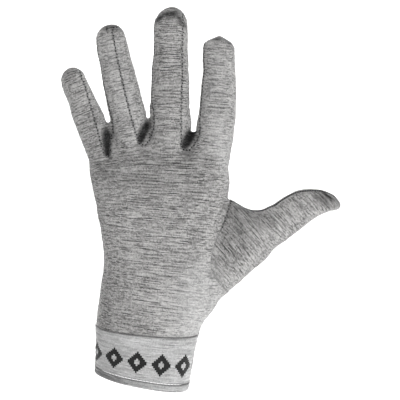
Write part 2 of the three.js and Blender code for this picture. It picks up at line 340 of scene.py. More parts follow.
def finger(name: str, across: float, length: float, lean: float, bow: float, root: float, tip: float,
           depth: float, dome: float = 0.5, point: float = 1.0) -> Digit:
    """A finger from its sizes.

    Args:
        name: The finger's name.
        across: How far its knuckle lies from the wrist's middle.
        length: From the knuckle to the tip.
        lean: Degrees from upright.
        bow: How far its middle bows, as a share of its length.
        root: Breadth at the knuckle.
        tip: Breadth at the tip.
        depth: Depth at the middle.
        dome: The rounded end's length, as a share of the tip's breadth.
        point: How pointed the end is; 1 is round.

    Returns:
        The finger.
    """
    stations = np.array([
        # along, taper, swell, depth
        [0.0, 0.0, 0.94, 1.08],
        [0.25, 0.06, 1.0, 1.1],
        [0.36, 0.16, 1.0, 1.06],
        [0.5, 0.36, 1.0, 1.0],
        [0.62, 0.52, 1.02, 1.0],
        [0.74, 0.76, 1.0, 0.92],
        [0.84, 0.92, 1.02, 0.88],
        [0.92, 1.0, 1.0, 0.84],
    ])
    share = stations[:, 0]
    rows = np.stack([
        share * length,
        -4 * share * (1 - share) * bow * length,
        (root + (tip - root) * stations[:, 1]) * stations[:, 2] / 2,
        depth * stations[:, 3] / 2,
    ], axis=1)
    return Digit(name, (across, 0.0, KNUCKLE_HEIGHT), lean, length, dome * tip, rows, point=point)


FINGERS = (
    # name, across, length, lean, bow, root, tip, depth, dome, point
    ("index", 40.7, 101.6, 5.2, 0.038, 25.5, 20.5, 19.5, 0.43, 2.7),
    ("middle", 18.3, 119.4, 0.4, 0.0, 27.0, 21.5, 20.5, 0.6, 1.08),
    ("ring", 2.0, 110.3, -12.8, 0.0, 25.5, 19.5, 19.5),
    ("little", -15.3, 84.9, -22.4, 0.0, 22.0, 16.5, 17.0),
)


def thumb_digit() -> Digit:
    """The thumb, from its table of stations.

    Returns:
        The thumb.
    """
    length, breadth, depth = 120.5, 24.0, 19.0
    stations = np.array([
        # along, rise, breadth, depth
        [0.021, 0.01, 0.6, 0.9],
        [0.134, 0.027, 0.95, 1.3],
        [0.232, 0.063, 1.24, 1.5],
        [0.335, 0.098, 1.46, 1.55],
        [0.437, 0.14, 1.75, 1.5],
        [0.515, 0.163, 1.86, 1.4],
        [0.55, 0.132, 1.42, 1.32],
        [0.6, 0.108, 1.13, 1.25],
        [0.664, 0.097, 1.03, 1.18],
        [0.706, 0.096, 1.0, 1.12],
        [0.773, 0.099, 0.98, 1.04],
        [0.857, 0.093, 0.86, 0.94],
        [0.91, 0.074, 0.76, 0.82],
        [1.0, 0.012, 0.62, 0.7],
    ])
    rows = stations * np.array([length, length, breadth / 2, depth / 2])
    return Digit("thumb", (30.0, 2.0, 48.0), 56.0, length, 0.07 * length, rows, 3.5, skew=0.14)


@dataclass(frozen=True)
class Palm:
    """The flattened body of the hand, from the cuff's seam to the webs between the fingers."""

    low: float = 33.4
    high: float = 168.0
    breadth: float = 88.0
    depth: float = 29.0
    seam_slant: float = 5.0
    tilt: float = 9.0
    web_drop: float = 6.0
    web_share: float = 0.93

    @property
    def table(self) -> Array:
        """Rows of up, shift, breadth, depth, back and slant, as shares."""
        return np.array([
            [0.0, 0.042, 0.758, 1.4, 0.04, 1.0],
            [0.06, 0.066, 0.79, 1.37, 0.04, 0.95],
            [0.12, 0.112, 0.855, 1.32, 0.04, 0.85],
            [0.18, 0.145, 0.893, 1.26, 0.04, 0.75],
            [0.25, 0.163, 0.897, 1.22, 0.04, 0.6],
            [0.35, 0.162, 0.88, 1.17, 0.03, 0.45],
            [0.47, 0.15, 0.904, 1.1, 0.02, 0.3],
            [0.58, 0.147, 0.955, 1.05, 0.0, 0.1],
            [0.68, 0.144, 1.005, 1.0, 0.0, 0.0],
            [0.77, 0.131, 1.034, 0.94, 0.0, 0.0],
            [0.84, 0.122, 1.03, 0.82, 0.04, 0.0],
            [0.9, 0.122, 0.98, 0.62, 0.1, 0.0],
            [0.955, 0.122, 0.9, 0.42, 0.15, 0.0],
            [1.0, 0.122, 0.8, 0.2, 0.18, 0.0],
        ])

    def at(self, up: Array) -> tuple[Array, ...]:
        """The palm's section.

        Args:
            up: Shares of the way up from the cuff's seam to the webs.

        Returns:
            Middle, half breadth, half depth, back and slant.
        """
        table = self.table
        shift, breadth, depth, back, slant = (through(up, table[:, 0], table[:, k]) for k in range(1, 6))
        half_breadth, half_depth = breadth * self.breadth / 2, depth * self.depth / 2
        return shift * self.breadth, half_breadth, half_depth, back * self.depth, slant

    def course_rise(self, slant: Array, right: Array, back: Array) -> Array:
        """How far a point of a slanted and tilted course lies above its middle."""
        tilt, fall = (np.tan(np.radians(degrees * slant)) for degrees in (self.tilt, self.seam_slant))
        return back * tilt - right * fall

    def rings(self, sides: int, levels: int) -> list[Array]:
        """Closed rings from a little below the cuff's seam up to the webs.

        Args:
            sides: How many points a ring has.
            levels: How many rings there are above the seam.

        Returns:
            The rings, from the lowest.
        """
        right, back = superellipse(np.arange(sides) * 2 * math.pi / sides, PALM_ROUNDNESS)
        result = []
        for up in [-0.06, -0.03, *np.linspace(0, self.web_share, levels)]:
            section = self.at(np.array(max(up, 0)))
            middle, half_breadth, half_depth, set_back, slant = (float(v) for v in section)
            x, y = right * half_breadth, back * half_depth
            arch = self.web_drop * float(eased(0.6, 1, up))
            z = self.low + up * (self.high - self.low) + self.course_rise(slant, x, y) - arch * right**2
            result.append(np.stack([middle + x, y + set_back, z], axis=1))
        return result

    def above_seam(self, points: Array) -> Array:
        """How far points lie above the seam at the top of the cuff."""
        middle, _, _, back, slant = (float(v) for v in self.at(np.array(0.0)))
        return points[:, 2] - self.low - self.course_rise(slant, points[:, 0] - middle, points[:, 1] - back)


@dataclass(frozen=True)
class Cloth:
    """How a panel's cloth and its seams stand."""

    thickness: float = 1.1
    groove_depth: float = 0.42
    groove_width: float = 0.75
    pucker: float = 0.12
    pocket_depth: float = 3.2


@dataclass(frozen=True)
class Spot:
    """A soft round place on the hand: its middle, and its reach across and up the hand."""

    x: float
    z: float
    across: float
    up: float

    def strength(self, points: Array) -> Array:
        """How strong the spot is at points, 1 in its middle."""
        x, z = points[:, 0], points[:, 2]
        return np.exp(-(((x - self.x) / self.across) ** 2 + ((z - self.z) / self.up) ** 2))


THUMB_WEB = Spot(62.0, 108.0, 9.0, 10.0)
THUMB_HEEL = Spot(52.0, 60.0, 12.0, 16.0)
THUMB_ROOT = Spot(71.0, 95.0, 16.0, 18.0)
WEBS_HEIGHT, WEBS_REACH, HALF_HAND = 143.0, 9.0, 56.0  # where the fingers grow out of the palm


@dataclass
class Form:
    """The whole outer form of the hand as one smooth mesh.

    voxel is the joined mesh's fineness. The two rounds say how long the skin relaxes where the fingers and
    the thumb grow out of the palm, at a voxel of 1 mm.
    """

    voxel: float
    palm: Palm = field(default_factory=Palm)
    digits: dict[str, Digit] = field(default_factory=dict)
    points: Array = field(default=None)
    triangles: Array = field(default=None)
    palm_sides: int = 72
    palm_levels: int = 60
    digit_sides: int = 40
    digit_step: float = 2.0
    web_rounds: float = 26.0
    thumb_rounds: float = 60.0

    def __post_init__(self) -> None:
        """Lay out the fingers and the thumb."""
        for one in (*(finger(*row) for row in FINGERS), thumb_digit()):
            self.digits[one.name] = one

    def lofts(self) -> bpy.types.Mesh:
        """Loft the palm, every digit and the webs' lips into one mesh.

        Returns:
            The mesh, of closed forms that pass through each other.
        """
        bm = bmesh.new()
        digits = [digit.rings(self.digit_sides, self.digit_step) for digit in self.digits.values()]
        lips = [rings for web in WEBS for rings in web.lips()]
        for rings in [self.palm.rings(self.palm_sides, self.palm_levels), *digits, *lips]:
            levels = [[bm.verts.new(p * MM) for p in ring] for ring in rings]
            for low, high in zip(levels[:-1], levels[1:]):
                for i in range(len(low)):
                    j = (i + 1) % len(low)
                    bm.faces.new((low[i], low[j], high[j], high[i]))
            bm.faces.new(levels[0][::-1])
            bm.faces.new(levels[-1])
        mesh = bpy.data.meshes.new("form")
        bm.to_mesh(mesh)
        bm.free()
        return mesh

    def join(self) -> None:
        """Join the lofts into one skin, and take its points and triangles."""
        mesh = self.lofts()
        form = placed("form", mesh)
        remesh = form.modifiers.new("join", "REMESH")
        remesh.mode = "VOXEL"
        remesh.voxel_size = self.voxel * MM
        graph = bpy.context.evaluated_depsgraph_get()
        joined = bpy.data.meshes.new_from_object(form.evaluated_get(graph))
        joined.calc_loop_triangles()
        self.points = np.empty(len(joined.vertices) * 3, np.float64)
        joined.vertices.foreach_get("co", self.points)
        self.points = self.points.reshape(-1, 3) / MM
        self.triangles = np.empty(len(joined.loop_triangles) * 3, np.int32)
        joined.loop_triangles.foreach_get("vertices", self.triangles)
        self.triangles = self.triangles.reshape(-1, 3).astype(np.int64)
        bpy.data.objects.remove(form)
        bpy.data.meshes.remove(mesh)
        bpy.data.meshes.remove(joined)

    def edges(self) -> Array:
        """Every edge once, as pairs of point numbers."""
        return np.unique(np.sort(sides_of(self.triangles), axis=1), axis=0)

    def normals(self) -> Array:
        """The outward direction at every point.

        Returns:
            Unit vectors, a row for each point.
        """
        a, b, c = (self.points[self.triangles[:, k]] for k in range(3))
        faces = np.cross(b - a, c - a)
        sums = np.zeros_like(self.points)
        for corner in range(3):
            for k in range(3):
                sums[:, k] += np.bincount(self.triangles[:, corner], faces[:, k], len(self.points))
        return sums / np.maximum(np.linalg.norm(sums, axis=1), 1e-12)[:, None]

    def neighbours_mean(self, edges: Array, count: Array) -> Array:
        """The mean of every point's neighbours.

        Args:
            edges: Every edge once.
            count: How many neighbours each point has.

        Returns:
            The means, a row for each point.
        """
        result = np.empty_like(self.points)
        for k in range(3):
            column = self.points[:, k]
            result[:, k] = (
                np.bincount(edges[:, 0], column[edges[:, 1]], len(column))
                + np.bincount(edges[:, 1], column[edges[:, 0]], len(column))
            ) / count
        return result

    def smooth(self, rounds: int, strength: Array, keep_size: bool) -> None:
        """Relax the skin.

        Args:
            rounds: How many times every point moves towards its neighbours' mean.
            strength: How far it moves, by point.
            keep_size: Whether each round is followed by one back, so that the skin doesn't shrink.
        """
        edges = self.edges()
        count = np.maximum(np.bincount(edges.ravel(), minlength=len(self.points)), 1)
        for _ in range(rounds):
            for factor in (0.6, -0.62) if keep_size else (0.6,):
                move = self.neighbours_mean(edges, count) - self.points
                self.points += factor * strength[:, None] * move

    def build(self) -> None:
        """Make the skin: round, with soft hollows where the fingers and the thumb grow out of the palm."""
        self.join()
        everywhere = np.ones(len(self.points))
        self.smooth(6, everywhere, True)
        x, z = self.points[:, 0], self.points[:, 2]
        knuckles = np.exp(-(((z - WEBS_HEIGHT) / WEBS_REACH) ** 2)) * (np.abs(x - HAND_MIDDLE) < HALF_HAND)
        place = knuckles + 0.5 * THUMB_WEB.strength(self.points) + THUMB_HEEL.strength(self.points)
        self.smooth(int(self.web_rounds / self.voxel**2), np.clip(place, 0, 1), False)
        flat = eased(0.4, 0.8, np.abs(self.normals()[:, 1]))
        place = 1.4 * THUMB_ROOT.strength(self.points) * flat
        self.smooth(int(self.thumb_rounds / self.voxel**2), np.clip(place, 0, 1), False)
        self.smooth(4, everywhere, True)

    def parted(self, value: Array, locked: Array) -> Array:
        """Move points onto the zero line of a side function, so that no triangle crosses it.

        Args:
            value: The side function at every point.
            locked: Which points already lie on a seam; the points moved here are added.

        Returns:
            The side function after the moves, 0 on the seam.
        """
        value = value.copy()
        edges = self.edges()
        for _ in range(3):
            a, b = edges[:, 0], edges[:, 1]
            cross = value[a] * value[b] < 0
            if not cross.any():
                break
            a, b = a[cross], b[cross]
            share = value[a] / (value[a] - value[b])
            take_a = ((share <= 0.5) & ~locked[a]) | locked[b]
            mover = np.where(take_a, a, b)
            spot = self.points[a] * (1 - share)[:, None] + self.points[b] * share[:, None]
            free = ~locked[mover]
            order = np.argsort(np.where(take_a, share, 1 - share)[free])[::-1]
            self.points[mover[free][order]] = spot[free][order]
            value[mover] = 0.0
            locked[mover] = True
        return value


FOURCHETTE_SHARE = 0.62  # of a finger's half depth behind its middle, that its fourchette covers
FOURCHETTE_REACH = 5.0  # how far a fourchette runs out past its finger's side, over the web


def soft_min(parts: list[Array], softness: float) -> Array:
    """The least of some lengths, with its corners rounded.

    Args:
        parts: The lengths.
        softness: How far the rounding reaches.

    Returns:
        The least, by point.
    """
    stack = np.stack(parts)
    low = stack.min(axis=0)
    return low - softness * np.log(np.exp(-(stack - low) / softness).sum(axis=0))


@dataclass(frozen=True)
class Web:
    """One fourchette: down the side of a finger, over the web and up the side of the next.

    The seam runs on the back of the left finger from seam_root to seam_tip, in shares of half its breadth,
    and turns over the web in a rounded point: bottom is its lowest place, lean how far the point's middle
    line moves across for each unit up, and breadth its half breadth 10 mm up. pocket is the hollow there,
    pressed in and darkened with painted shade: x, z, half length, half width and degrees from upright. gap is
    where the gap between the fingers ends, and the two places, left and right, where the web's lips meet the
    fingers. inner_seam and inner_tip place the seam on the right finger, in shares of half its breadth.
    """

    name: str
    left: str
    right: str
    seam_root: float
    seam_tip: float
    bottom: tuple[float, float]
    lean: float
    breadth: float
    pocket: tuple[float, float, float, float, float]
    gap: tuple[tuple[float, float], ...]
    inner_seam: float
    inner_tip: float

    def lips(self) -> list[list[Array]]:
        """The web's two lips.

        Returns:
            For each lip a front and a back ring of four points.
        """
        end, *tops = (np.array([x, 0.0, z]) for x, z in self.gap)
        result = []
        for top, way in zip(tops, (-1, 1)):
            corners = [top, end, end + [0, 0, -14], top + [way * 7.0, 0, -20]]
            thickness = np.array([2.6, 3.4, 5.0, 5.0])
            middle = np.array([0, 1, 0]) * curl_at(end[2])
            ring = np.stack(corners) + middle
            result.append([ring - np.outer(thickness, [0, 1, 0]), ring + np.outer(thickness, [0, 1, 0])])
        return result

    def point_edge(self, points: Array) -> Array:
        """How far points lie above the rounded point over the web.

        Args:
            points: Points in the glove's frame.

        Returns:
            The distances, below 0 under the point.
        """
        up = points[:, 2] - self.bottom[1]
        across = points[:, 0] - self.bottom[0] - self.lean * up
        steep = 20 * across / self.breadth**2
        return (up - 10 * (across / self.breadth) ** 2) / np.sqrt(1 + steep**2)

    def hollow(self, points: Array) -> Array:
        """How deep in the pocket points lie.

        Args:
            points: Points in the glove's frame.

        Returns:
            The depths, from 0 to 1 in the pocket's middle.
        """
        x, z, length, width, turn = self.pocket
        along, across = turned(points, x, z, 90 - turn)
        bowl = np.exp(-(np.abs(along / length) ** 3)) * np.exp(-((across / width) ** 2))
        return bowl * eased(7, -1, points[:, 1])

    def strip(self, digit: Digit, points: Array, to_right: int) -> Array:
        """How far points lie inside the strip along one finger.

        Args:
            digit: The finger.
            points: Points in the glove's frame.
            to_right: 1 where the strip lies on the finger's right side, -1 on its left.

        Returns:
            The distances, below 0 outside the strip.
        """
        place = digit.locate(points)
        share = np.clip(place["along"] / digit.length, 0.25, 0.95)
        side = place["side"] * to_right
        line = self.seam_root + (self.seam_tip - self.seam_root) * (share - 0.25) / 0.7
        inner = -self.inner_seam - (self.inner_tip - self.inner_seam) * eased(0.28, 0.5, share)
        start = (line if to_right > 0 else inner) * place["half_breadth"]
        front, whole = 1.2 * place["half_depth"], (1.2 + FOURCHETTE_SHARE) * place["half_depth"]
        round_side = (place["depth"] + front) / whole
        edge = start + (place["half_breadth"] * 0.5 - start) * np.clip(round_side, 0, 1)
        return soft_min([
            side - edge,
            FOURCHETTE_SHARE * place["half_depth"] - place["depth"],
            self.point_edge(points) + 30 * eased(-1, 4, points[:, 1]),
            place["along"] - 0.2 * digit.length,
            digit.length - 0.35 * digit.dome - place["along"],
            place["half_breadth"] + FOURCHETTE_REACH - side,
        ], 0.8)

    def inside(self, form: Form) -> Array:
        """How far the form's points lie inside this fourchette.

        Args:
            form: The form.

        Returns:
            The distances, below 0 outside.
        """
        left = self.strip(form.digits[self.left], form.points, 1)
        right = self.strip(form.digits[self.right], form.points, -1)
        return -soft_min([-left, -right], 1.2)


WEBS = (
    # name, left, right, seam root and tip, bottom, lean, breadth, pocket, gap, inner seam and tip
    Web("little_ring", "little", "ring", -0.1, 0.9, (-22.6, 145.6), -0.18, 4.6,
        (-21.8, 153.5, 11.0, 3.4, -6), ((-20.8, 158.0), (-25.8, 175.0), (-20.4, 175.0)), -1.07, -1.45),
    Web("ring_middle", "ring", "middle", 0.12, -0.05, (1.5, 153.0), -0.08, 5.4,
        (1.4, 160.5, 9.0, 3.2, 24), ((4.6, 160.0), (0.4, 179.0), (5.4, 179.0)), -1.05, -1.45),
    Web("middle_index", "middle", "index", 0.53, 0.8, (29.6, 150.2), 0.14, 5.8,
        (30.5, 156.6, 8.5, 3.6, 30), ((33.2, 156.5), (31.8, 176.0), (39.2, 179.0)), -0.97, -1.3),
)

THUMB_SEAM = np.array([
    # x, z from above the web down round the thumb's root to the heel
    [61.6, 130.0], [57.6, 115.3], [53.7, 102.9], [47.5, 88.0],
    [45.3, 76.9], [46.6, 70.1], [56.3, 57.0], [85.3, 28.0],
])
THUMB_TOP_SEAM = 4.2  # how far towards the back of the hand the seam along the thumb's upper edge lies
THUMB_FAINT = 98.0  # below this height the seam round the thumb's root gets no dark running stitches, its painted shade


def beyond_line(points: Array, corners: Array) -> Array:
    """Signed distance in the XZ plane from a smooth line through corners.

    Args:
        points: Points in the glove's frame.
        corners: The line's corners, as rows of x and z.

    Returns:
        The distances, positive on the thumb's side.
    """
    at = np.linspace(0, len(corners) - 1, 5 * len(corners))
    line = np.stack([through(at, np.arange(len(corners)), corners[:, k]) for k in (0, 1)], axis=1)
    flat = points[:, [0, 2]]
    best, sign = np.full(len(flat), np.inf), np.ones(len(flat))
    for start, end in zip(line[:-1], line[1:]):
        way = end - start
        t = np.clip(((flat - start) @ way) / (way @ way), 0, 1)
        away = flat - (start + t[:, None] * way)
        distance = np.linalg.norm(away, axis=1)
        turn = way[0] * (flat[:, 1] - start[1]) - way[1] * (flat[:, 0] - start[0])
        nearer = distance < best - 1e-9
        best[nearer], sign[nearer] = distance[nearer], np.sign(turn[nearer])
    return best * sign


@dataclass(frozen=True)
class Fold:
    """A crease across a digit or the palm.

    x and z are its middle, length its half length, turn its direction in degrees from +X, and width and
    depth its section. A negative depth is a ridge.
    """

    x: float
    z: float
    length: float
    turn: float
    width: float
    depth: float

    def height(self, points: Array) -> Array:
        """How far the fold lifts the skin.

        Args:
            points: Points of the skin.

        Returns:
            The lifts, below 0 in a crease.
        """
        along, across = turned(points, self.x, self.z, self.turn)
        across = across + 0.02 * along**2 / max(self.length, 1)
        return -self.depth * np.exp(-((across / self.width) ** 2)) * np.exp(-((along / self.length) ** 4))


FOLDS = (
    # Across the fingers, over their joints
    Fold(18.5, 205.0, 9, -3, 0.9, 0.64), Fold(18.0, 186.5, 10, 2, 1.0, 0.68),
    Fold(17.5, 172.0, 9, -2, 1.2, 0.4), Fold(-19.5, 214.5, 8, -14, 0.9, 0.6),
    Fold(-14.0, 192.0, 9, -13, 1.1, 0.48), Fold(-8.5, 161.0, 9, -16, 1.0, 0.6),
    Fold(-38.0, 179.0, 8, -24, 1.0, 0.56), Fold(-33.0, 166.0, 8, -22, 1.1, 0.44),
    Fold(50.5, 196.0, 8, 2, 0.9, 0.48), Fold(50.3, 187.5, 9, -4, 1.1, 0.64),
    Fold(48.0, 171.0, 10, 4, 1.1, 0.52),
    # From the webs down over the knuckles
    Fold(-16.0, 139.0, 9, -62, 1.6, 0.6), Fold(-26.0, 137.0, 8, -112, 1.5, 0.48),
    Fold(4.0, 143.0, 9, -80, 1.7, 0.44), Fold(30.0, 141.0, 9, -98, 1.6, 0.52),
    Fold(8.0, 147.0, 10, -5, 1.4, 0.4), Fold(12.0, 134.0, 26, -3, 1.5, 0.44),
    # On the back of the hand and at its edge
    Fold(-2.0, 118.0, 20, -6, 2.2, 0.4), Fold(18.0, 105.0, 24, -5, 2.4, 0.3),
    Fold(8.0, 88.0, 28, -4, 2.6, 0.36), Fold(16.0, 72.0, 18, -8, 2.4, 0.3),
    Fold(-10.0, 64.0, 16, 3, 2.2, 0.32), Fold(6.0, 50.0, 24, -4, 2.0, 0.36),
    Fold(-12.0, 42.0, 14, -6, 1.6, 0.4), Fold(22.0, 41.0, 14, -5, 1.7, 0.34),
    Fold(-24.0, 90.0, 10, 8, 1.8, 0.4), Fold(-27.0, 76.0, 9, 4, 1.6, 0.36),
    Fold(40.0, 92.0, 9, -12, 1.6, 0.34), Fold(44.0, 118.0, 11, -8, 2.0, 0.36),
    # Round the thumb's root and along its web
    Fold(38.0, 66.0, 12, -44, 1.3, 0.6), Fold(44.0, 58.0, 12, -40, 1.3, 0.52),
    Fold(52.0, 74.0, 11, -50, 1.3, 0.52), Fold(60.0, 84.0, 12, -52, 1.4, 0.44),
    Fold(66.0, 95.0, 12, -58, 1.4, 0.4), Fold(78.0, 100.0, 11, -60, 1.2, 0.4),
    Fold(92.0, 107.0, 10, -58, 1.1, 0.44), Fold(104.0, 112.0, 9, -60, 1.0, 0.4),
)


@dataclass(frozen=True)
class Mark:
    """A soft place of painted shade on the cloth, or of painted light where strength is negative.

    x and z are its middle, length and width its halves, and turn its direction in degrees from +X.
    """

    x: float
    z: float
    length: float
    width: float
    turn: float
    strength: float

    def shade(self, points: Array) -> Array:
        """How much painted shade, or painted light, the mark puts on the front of the glove.

        Args:
            points: Points of the skin.

        Returns:
            The painted shade, below 0 where it paints light instead.
        """
        along, across = turned(points, self.x, self.z, self.turn)
        spot = np.exp(-((across / self.width) ** 2) - np.abs(along / self.length) ** 3)
        return self.strength * spot * eased(10, 4, points[:, 1] - curl_at(points[:, 2]))


MARKS = (
    # Painted shade at the gathered ends of the fingers and of the thumb, which turn away from the light
    Mark(-22.4, 228.2, 2.6, 0.9, 90, 1.0), Mark(-21.0, 229.8, 9.0, 3.0, -8, 0.75),
    Mark(12.0, 235.5, 5.0, 2.1, 42, 1.0), Mark(18.5, 238.0, 6.5, 2.7, 2, 0.95),
    Mark(25.5, 233.5, 7.0, 1.9, -54, 0.7), Mark(56.0, 220.0, 6.0, 1.2, -36, 0.65),
    Mark(49.0, 221.6, 3.4, 1.6, 0, 0.8), Mark(50.0, 215.5, 9.5, 0.7, -2, 0.45),
    Mark(-46.0, 197.0, 3.0, 2.0, 20, 0.2), Mark(118.0, 117.5, 7.5, 4.0, -32, 0.55),
    Mark(121.0, 120.0, 7.0, 1.2, -36, 1.0),
    # Painted shade in the hollow of the thumb's web, under the knuckles and the web pockets, and down the
    # hand's left side, away from the light
    Mark(62.0, 103.0, 17.0, 5.5, 112, 0.42), Mark(76.0, 103.0, 12.0, 4.5, 168, 0.34),
    Mark(69.0, 110.0, 15.0, 6.0, 160, 0.46), Mark(63.0, 115.2, 8.0, 1.5, -36, 0.75),
    Mark(58.0, 84.0, 16.0, 7.0, 100, 0.16), Mark(10.0, 140.0, 34.0, 6.5, -4, 0.24),
    Mark(8.0, 130.0, 40.0, 9.0, -4, 0.25), Mark(-25.5, 137.5, 8.0, 4.0, -60, 0.42),
    Mark(1.0, 148.5, 5.0, 3.0, 0, 0.4), Mark(30.0, 145.5, 7.0, 3.0, -15, 0.4),
    Mark(-33.0, 95.0, 62.0, 8.0, 86, 0.22), Mark(-22.0, 52.0, 22.0, 9.0, 95, 0.16),
    # Painted light where the cloth faces the light: on the heel's right and along the ring and index fingers
    Mark(35.0, 50.0, 30.0, 14.0, 78, -0.3), Mark(-14.0, 195.0, 36.0, 9.0, 103, -0.13),
    Mark(49.0, 192.0, 32.0, 11.0, 86, -0.1), Mark(52.0, 150.0, 26.0, 7.0, 94, -0.18),
)


FAR = 9.0  # a distance at which a seam has no effect
CROSS_DEPTH = 0.4  # how much the knit's pattern changes through the glove's depth


@dataclass
class Skin:
    """The form parted into its panels, with the knit's own coordinates at every point."""

    form: Form
    cloth: Cloth = field(default_factory=Cloth)
    names: tuple[str, ...] = (
        "back_panel", "palm_panel", *(f"fourchette_{web.name}" for web in WEBS), "thumb_back", "thumb_palm")
    labels: Array = field(default=None)
    web_values: list[Array] = field(default_factory=list)
    thumb_value: Array = field(default=None)
    wrist_value: Array = field(default=None)
    back_value: Array = field(default=None)
    thumb_front: Array = field(default=None)
    thumb_rise: Array = field(default=None)
    closeness: Array = field(default=None)

    def part(self) -> None:
        """Bring every seam onto the mesh, and give each triangle its panel."""
        form = self.form
        locked = np.zeros(len(form.points), bool)
        wrist = form.parted(form.palm.above_seam(form.points), locked)
        thumb = form.parted(beyond_line(form.points, THUMB_SEAM), locked)
        webs = [form.parted(web.inside(form), locked) for web in WEBS]
        back = form.parted(curl_at(form.points[:, 2]) - form.points[:, 1], locked)
        thumb_place = form.digits["thumb"].locate(form.points)
        rise = -thumb_place["side"]
        thumb_front = form.parted(-thumb_place["depth"] - THUMB_TOP_SEAM * eased(-4, 9, rise), locked)

        def side(value: Array) -> Array:
            """The mean of a side function over each triangle."""
            return value[form.triangles].mean(axis=1)

        labels = np.where(side(back) > 0, Panel.BACK, Panel.PALM)
        for k, value in enumerate(webs):
            labels = np.where(side(value) > 0, Panel.FIRST_WEB + k, labels)
        halves = np.where(side(thumb_front) > 0, Panel.THUMB_BACK, Panel.THUMB_PALM)
        labels = np.where(side(thumb) > 0, halves, labels)
        self.labels = np.where(side(wrist) > 0, labels, Panel.NONE)
        self.web_values, self.thumb_value, self.wrist_value = webs, thumb, wrist
        self.thumb_front, self.thumb_rise, self.back_value = thumb_front, rise, back

    def seam_distances(self) -> list[tuple[Array, Array | float]]:
        """Every seam's distance at every point, with the seam's strength there.

        Returns:
            Pairs of a distance and a strength, one for each seam.
        """
        points = self.form.points
        webs = [(np.where(self.thumb_value <= 0, value, FAR), 1.0) for value in self.web_values]
        thumb_top = np.where((self.thumb_value > 0) & (self.thumb_rise > 2), self.thumb_front, FAR)
        covered = np.max(np.stack([*self.web_values, self.thumb_value]), axis=0) > 0
        side = np.where(covered, FAR, self.back_value)
        # The grooves, and the painted shade laid in them, fade low on the thumb's root and towards the
        # wrist's right.
        thumb_strength = 0.25 + 0.6 * eased(70, 105, points[:, 2])
        wrist_strength = 0.35 + 0.6 * eased(10, -15, points[:, 0])
        return [*webs, (self.thumb_value, thumb_strength), (thumb_top, 1.3), (side, 0.9),
                (self.wrist_value, wrist_strength)]

    def relieve(self) -> None:
        """Press the seams and the folds into the skin."""
        form, cloth = self.form, self.cloth
        points = form.points
        height = sum(one.at(points) for one in HAND_RIPPLES)
        for web in WEBS:
            height -= cloth.pocket_depth * web.hollow(points)
        # closeness is each point's nearness to a seam; the material paints the grooves' shade by it.
        self.closeness = np.zeros(len(points))
        for distance, strength in self.seam_distances():
            near = np.exp(-((distance / cloth.groove_width) ** 2)) * strength
            height -= cloth.groove_depth * near
            height += cloth.pucker * np.exp(-(((np.abs(distance) - 1.7) / 0.8) ** 2)) * strength
            self.closeness = np.maximum(self.closeness, near)
        on_thumb = points[:, 0] > 60
        front = eased(3, -3, points[:, 1] - curl_at(points[:, 2])) + eased(3, -3, points[:, 1] - 8) * on_thumb
        for fold in FOLDS:
            height += fold.height(points) * np.clip(front, 0, 1)
        form.points = points + form.normals() * height[:, None]

    def coordinates(self) -> Array:
        """The knit's coordinates at every point.

        Returns:
            Rows of three lengths: round the section, along the courses' count, and through the depth.
        """
        form = self.form
        points = form.points
        up = np.clip((points[:, 2] - form.palm.low) / (form.palm.high - form.palm.low), 0, 1)
        middle, half_breadth, half_depth, back, slant = form.palm.at(up)
        side, depth = points[:, 0] - middle, points[:, 1] - back
        course = points[:, 2] - form.palm.course_rise(slant, side, depth)
        palm = np.stack([
            middle + stadium_arc(side, depth, half_breadth, half_depth),
            course + COURSE_RISE * (points[:, 0] - HAND_MIDDLE),
            points[:, 1] * CROSS_DEPTH,
        ], axis=1)
        result, best = palm, np.full(len(points), np.inf)
        for digit in form.digits.values():
            place = digit.locate(points)
            if digit.name == "thumb":
                grown = self.thumb_value > -0.01
                weight = 1.0 * grown
            else:
                grown = (place["along"] > 6) & (self.thumb_value <= 0)
                weight = eased(8, 34, place["along"]) * grown
            course = digit.root[2] + place["along"] - digit.skew * place["side"]
            own = np.stack([
                digit.root[0] + stadium_arc(
                    place["side"], place["depth"], place["half_breadth"], place["half_depth"]),
                course + COURSE_RISE * (digit.root[0] - HAND_MIDDLE),
                place["depth"] * CROSS_DEPTH,
            ], axis=1)
            nearer = grown & (place["reach"] < best)
            mixed = palm * (1 - weight[:, None]) + own * weight[:, None]
            result = np.where(nearer[:, None], mixed, result)
            best = np.where(nearer, place["reach"], best)
        return result

    def painted_shading(self) -> Array:
        """The painted shade and painted light on the cloth at every point: in the web pockets, at the digits'
        ends and at the marks.

        Returns:
            Painted shade from 0 to 1, or below 0 where painted light makes the cloth paler than its yarn.
        """
        points = self.form.points
        dark, pale = np.zeros(len(points)), np.zeros(len(points))
        # Painted shade in the web pockets, where shade falls deep between the fingers.
        for web, value in zip(WEBS, self.web_values):
            dark = np.maximum(dark, eased(0.05, 0.8, web.hollow(points)) * eased(-1.6, 0.8, value))
        # Painted shade at the ends of the digits, which turn away from the light.
        for digit in self.form.digits.values():
            place = digit.locate(points)
            tip = eased(digit.length - 6.5, digit.length - 1.5, place["along"]) * (place["reach"] < 1.6)
            dark = np.maximum(dark, 0.4 * tip)
        # Painted shade, and painted light, from the marks.
        for mark in MARKS:
            dark = np.maximum(dark, mark.shade(points))
            pale = np.minimum(pale, mark.shade(points))
        return dark + pale

